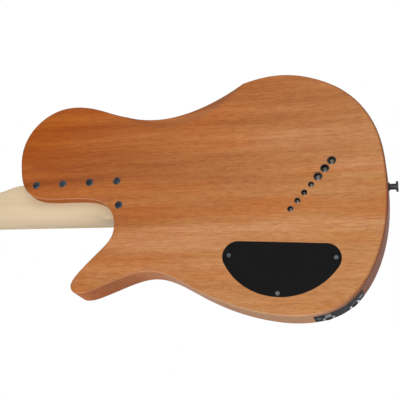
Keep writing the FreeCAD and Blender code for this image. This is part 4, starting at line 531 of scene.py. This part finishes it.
def run_tree(name, mesh, tree, values):
    """Runs the tree on the mesh once and keeps the result as a plain mesh."""
    piece = link_object(name, mesh)
    modifier = piece.modifiers.new("tree", "NODES")
    modifier.node_group = tree
    for item in tree.interface.items_tree:
        if item.in_out == "INPUT" and item.name in values:
            modifier[item.identifier] = values[item.name]
    bpy.context.view_layer.update()
    seen = piece.evaluated_get(bpy.context.evaluated_depsgraph_get())
    shaped = bpy.data.meshes.new_from_object(seen)
    piece.modifiers.clear()
    piece.data = shaped
    return piece


def settle(piece, body, slot, *replaced):
    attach(piece, body)
    if replaced:
        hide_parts(*replaced)


def shade_round(piece, angle_deg):
    """Smooth shading, with the edges that turn by more than the angle kept sharp."""
    form = bmesh.new()
    form.from_mesh(piece.data)
    for face in form.faces:
        face.smooth = True
    for edge in form.edges:
        sharp = len(edge.link_faces) != 2 or edge.calc_face_angle(0.0) > math.radians(angle_deg)
        edge.smooth = not sharp
    form.to_mesh(piece.data)
    form.free()


def close_shell(piece):
    """Joins doubled points and turns every face outwards."""
    form = bmesh.new()
    form.from_mesh(piece.data)
    bmesh.ops.remove_doubles(form, verts=form.verts, dist=weld_reach)
    bmesh.ops.recalc_face_normals(form, faces=form.faces)
    form.to_mesh(piece.data)
    form.free()


def board_half(z):
    """Half the board's width at height z."""
    saddle_mid = (bass_saddle_z + treble_saddle_z) / 2
    nut_mid = (bass_saddle_z + bass_scale + treble_saddle_z + treble_scale) / 2
    at_saddle = saddle_half + board_edge_at_saddle
    at_nut = nut_half + board_edge_at_nut
    return at_saddle + (at_nut - at_saddle) * (z - saddle_mid) / (nut_mid - saddle_mid)


def fret_line(number):
    """The ends of one fret, as (x, z): the fan of two scales, drawn out to the board's edges."""
    share = 0.5 ** (number / frets_to_half_length)
    half = saddle_half - (saddle_half - nut_half) * share
    bass = Vector((-half, bass_saddle_z + bass_scale * share))
    treble = Vector((half, treble_saddle_z + treble_scale * share))
    along = treble - bass
    slope = board_half(1.0) - board_half(0.0)
    edge = board_half(bass.y)
    to_bass = (edge + bass.x) / (-along.x - slope * along.y)
    to_treble = (edge - bass.x) / (along.x - slope * along.y)
    drawn = fret_inset / along.length
    return bass + along * (to_bass + drawn), bass + along * (to_treble - drawn)


def fret_tree():
    """Sweeps a crowned wire along each line, lower at its ends, and stands the board up."""
    end_radius = 0.55
    maker = TreeMaker("fret_sweep", [
        ("Wire", "NodeSocketObject"), ("Material", "NodeSocketMaterial"),
        ("End Step", "NodeSocketFloat"), ("Board Face", "NodeSocketVector"),
    ])
    given = maker.given
    lines = maker.add("GeometryNodeMeshToCurve", {"Mesh": given["Geometry"]})
    fine = maker.add("GeometryNodeResampleCurve", {
        "Curve": lines.outputs[0], "Length": given["End Step"],
    }, mode="LENGTH")
    full = maker.add("GeometryNodeSetCurveRadius", {"Curve": fine.outputs[0], "Radius": 1.0})
    ends = maker.add("GeometryNodeCurveEndpointSelection", {"Start Size": 1, "End Size": 1})
    low = maker.add("GeometryNodeSetCurveRadius", {
        "Curve": full.outputs[0], "Selection": ends.outputs[0], "Radius": end_radius,
    })
    upright = maker.add("GeometryNodeSetCurveNormal", {"Curve": low.outputs[0]}, mode="Z_UP")
    wire = maker.add("GeometryNodeObjectInfo", {"Object": given["Wire"]})
    section = maker.add("GeometryNodeMeshToCurve", {"Mesh": wire.outputs["Geometry"]})
    radius = maker.add("GeometryNodeInputRadius")
    swept = maker.add("GeometryNodeCurveToMesh", {
        "Curve": upright.outputs[0], "Profile Curve": section.outputs[0],
        "Scale": radius.outputs[0], "Fill Caps": True,
    })
    stood = maker.add("GeometryNodeTransform", {
        "Geometry": swept.outputs[0], "Rotation": (math.radians(90.0), 0.0, 0.0),
        "Translation": given["Board Face"],
    })
    return maker.finish(stood.outputs["Geometry"])


def edge_mesh(name, runs):
    """A mesh of bare edges; each run is a list of points."""
    points, edges = [], []
    for run in runs:
        first = len(points)
        points.extend(run)
        edges.extend((first + step, first + step + 1) for step in range(len(run) - 1))
    mesh = bpy.data.meshes.new(name)
    mesh.from_pydata(points, edges, [])
    return mesh


def make_frets(material):
    """Crowned fret wires with rounded-off ends, in place of the plain CAD bars."""
    crown_steps = 10
    crown_power = 0.8
    end_step = 1.2 * MM
    sharp_angle_deg = 40.0
    half = tang_width / 2
    crown = []
    for step in range(crown_steps + 1):
        angle = math.pi * step / crown_steps
        rise = math.sin(angle) ** crown_power * fret_height
        crown.append((math.cos(angle) * fret_width / 2, rise, 0.0))
    tang = [(-half, 0.0, 0.0), (-half, -tang_depth, 0.0), (half, -tang_depth, 0.0),
            (half, 0.0, 0.0)]
    outline = crown + tang
    section = edge_mesh("fret_wire_section", [outline + outline[:1]])
    wire = link_object("fret_wire_section", section)
    lines = []
    for number in range(1, fret_count + 1):
        lines.append([(end.x, end.y, 0.0) for end in fret_line(number)])
    piece = run_tree("fret_wires", edge_mesh("fret_lines", lines), fret_tree(), {
        "Wire": wire, "Material": material, "End Step": end_step,
        "Board Face": (0.0, board_top_y, 0.0),
    })
    bpy.data.objects.remove(wire)
    close_shell(piece)
    shade_round(piece, sharp_angle_deg)
    settle(piece, "instrument", "fret_wire", "frets")


def knurl_tree():
    """Ridges set round a knob: each stands on a ring point and leans with the taper."""
    ridge_sides = 4
    corner_reach = 0.7
    maker = TreeMaker("knurl_ring", [
        ("Ridge Count", "NodeSocketInt"), ("Ridge Width", "NodeSocketFloat"),
        ("Ring Radius", "NodeSocketFloat"), ("Lean", "NodeSocketFloat"),
        ("Ridge Length", "NodeSocketFloat"), ("Middle", "NodeSocketVector"),
        ("Material", "NodeSocketMaterial"),
    ])
    given = maker.given
    ring = maker.add("GeometryNodeMeshCircle", {
        "Vertices": given["Ridge Count"], "Radius": given["Ring Radius"],
    })
    ridge_size = maker.add("ShaderNodeCombineXYZ", {
        "X": given["Ridge Width"], "Y": given["Ridge Width"], "Z": given["Ridge Length"],
    })
    ridge = maker.add("GeometryNodeMeshCone", {
        "Vertices": ridge_sides, "Radius Top": corner_reach, "Radius Bottom": corner_reach,
        "Depth": 1.0,
    })
    sized = maker.add("GeometryNodeTransform", {
        "Geometry": ridge.outputs["Mesh"], "Scale": ridge_size.outputs[0],
    })
    half_down = maker.add("ShaderNodeVectorMath", {
        0: (0.0, 0.0, -0.5), "Scale": given["Ridge Length"],
    }, operation="SCALE")
    centred = maker.add("GeometryNodeTransform", {
        "Geometry": sized.outputs[0], "Translation": half_down.outputs[0],
    })
    place = maker.add("GeometryNodeInputPosition")
    axes = maker.add("ShaderNodeSeparateXYZ", {0: place.outputs[0]})
    turn = maker.add("ShaderNodeMath", {
        0: axes.outputs["Y"], 1: axes.outputs["X"],
    }, operation="ARCTAN2")
    leaning = maker.add("ShaderNodeCombineXYZ", {"Y": given["Lean"], "Z": turn.outputs[0]})
    ridges = maker.add("GeometryNodeInstanceOnPoints", {
        "Points": ring.outputs["Mesh"], "Instance": centred.outputs[0],
        "Rotation": leaning.outputs[0],
    })
    real = maker.add("GeometryNodeRealizeInstances", {0: ridges.outputs[0]})
    laid = maker.add("GeometryNodeTransform", {
        "Geometry": real.outputs[0], "Rotation": (math.radians(90.0), 0.0, 0.0),
        "Translation": given["Middle"],
    })
    return maker.finish(laid.outputs["Geometry"])


def make_knurls(material):
    """A ring of fine ridges on the tapered side of each control knob."""
    tree = knurl_tree()
    for number in range(1, knob_count + 1):
        knob = "knob_%d" % number
        low, high = (Vector(corner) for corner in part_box(knob))
        height = high.y - low.y
        piece = run_tree("knurl_%d" % number, bpy.data.meshes.new("knurl"), tree, {
            "Ridge Count": ridge_count,
            "Ridge Width": ridge_width,
            "Ring Radius": (ridge_foot_radius + ridge_top_radius) / 2,
            "Lean": -math.atan2(ridge_foot_radius - ridge_top_radius, height),
            "Ridge Length": height - ridge_rim_gap * 2,
            "Middle": ((low.x + high.x) / 2, (low.y + high.y) / 2, (low.z + high.z) / 2),
            "Material": material,
        })
        close_shell(piece)
        settle(piece, knob, "black_metal")


make_camera()
make_studio()
make_floor()

timber = body_timber()
maple = pale_timber("neck_maple", srgb(190, 166, 130), srgb(203, 182, 150),
                    srgb(213, 194, 164), band=10.0, line=120.0)
board_maple = pale_timber("board_maple", srgb(184, 152, 108), srgb(198, 170, 126),
                          srgb(208, 184, 144), band=14.0, line=150.0)
string_wire = string_metal()

# Each one: colour, colour of its paler patches, and its two roughnesses
bone = handled("nut_bone", srgb(232, 224, 202), srgb(240, 234, 216), 0.35, 0.5, coat=0.2)
marker_black = handled("marker_black", srgb(22, 22, 22), srgb(34, 34, 34), 0.35, 0.5)
fret_wire = handled("fret_wire", srgb(205, 203, 196), srgb(222, 220, 214), 0.16, 0.3,
                    metallic=1.0)
ball_brass = handled("ball_brass", srgb(104, 98, 90), srgb(150, 144, 134), 0.16, 0.3,
                     metallic=1.0)
bright_metal = handled("bright_metal", srgb(214, 216, 220), srgb(232, 234, 238), 0.08, 0.2,
                       metallic=1.0)
black_nickel = handled("black_nickel", srgb(52, 52, 56), srgb(72, 72, 78), 0.18, 0.3,
                       metallic=0.9)
cup_nickel = handled("cup_nickel", srgb(94, 96, 100), srgb(128, 130, 136), 0.2, 0.32,
                     metallic=0.9)
ferrule_nickel = handled("ferrule_nickel", srgb(64, 58, 56), srgb(104, 96, 92), 0.18, 0.3,
                         metallic=0.9)
black_coat = handled("black_coat", srgb(24, 24, 26), srgb(36, 36, 39), 0.35, 0.5,
                     metallic=0.2, grit=0.05)
blue_black = handled("blue_black_plate", srgb(8, 13, 19), srgb(24, 34, 42), 0.5, 0.65,
                     grit=0.05, shine=0.14)
screw_black = handled("screw_black", srgb(48, 50, 56), srgb(70, 74, 82), 0.25, 0.4,
                      metallic=0.8)
screw_grey = handled("screw_grey", srgb(104, 108, 112), srgb(132, 136, 140), 0.25, 0.4,
                     metallic=1.0)
screw_blue = handled("screw_blue", srgb(50, 54, 62), srgb(92, 98, 108), 0.22, 0.36,
                     metallic=0.9)
steel = handled("plain_steel", srgb(150, 152, 156), srgb(176, 178, 182), 0.22, 0.36,
                metallic=1.0)
cover_plastic = handled("cover_plastic", srgb(9, 8, 9), srgb(13, 12, 13), 0.42, 0.55,
                        grit=0.1, shine=0.09)
pickup_plastic = handled("pickup_plastic", srgb(16, 16, 17), srgb(24, 24, 25), 0.4, 0.52,
                         grit=0.15, shine=0.3)
coil_black = handled("coil_black", srgb(30, 26, 25), srgb(44, 38, 36), 0.5, 0.7)
foam_grey = handled("foam_grey", srgb(36, 36, 38), srgb(56, 56, 58), 0.85, 0.95, grit=0.6)
pot_metal = handled("pot_metal", srgb(176, 176, 178), srgb(196, 196, 198), 0.35, 0.5,
                    metallic=1.0)
wire_red = handled("wire_red", srgb(120, 26, 22), srgb(140, 36, 30), 0.45, 0.6)

looks = {
    "body": timber, "neck": maple, "fretboard": board_maple, "frets": fret_wire, "nut": bone,
    "position_markers": marker_black, "truss_rod": steel, "truss_wheel": steel,
    "neck_screws": screw_blue, "neck_screw_cups": cup_nickel,
    "bass_ferrules": ferrule_nickel, "guitar_ferrules": ferrule_nickel,
    "bridge_bases": black_coat, "bridge_screws": screw_black, "intonation_screws": screw_black,
    "neck_pickup_cover": pickup_plastic, "bridge_pickup_cover": pickup_plastic,
    "pickup_coils": coil_black, "pickup_screws": screw_black, "pickup_foam": foam_grey,
    "control_pots": pot_metal, "toggle_switch": coil_black, "toggle_lever": bright_metal,
    "control_nuts": bright_metal, "jack_plate": blue_black, "jack_sockets": coil_black,
    "plate_screws": screw_grey, "strap_buttons": black_coat, "strap_screws": screw_black,
    "control_cover": cover_plastic, "wiring": wire_red,
    "tuner_housings": black_coat, "tuner_bushings": black_nickel, "tuner_screws": screw_black,
    "strings": string_wire, "ball_ends": ball_brass,
}
for number in range(1, string_count + 1):
    looks["saddle_%d" % number] = black_coat
    looks["tuner_key_%d" % number] = black_coat
    looks["tuner_post_%d" % number] = black_nickel
for number in range(1, knob_count + 1):
    looks["knob_%d" % number] = black_coat
for name, material in looks.items():
    plain_look(name, material)

make_frets(fret_wire)
make_knurls(black_coat)
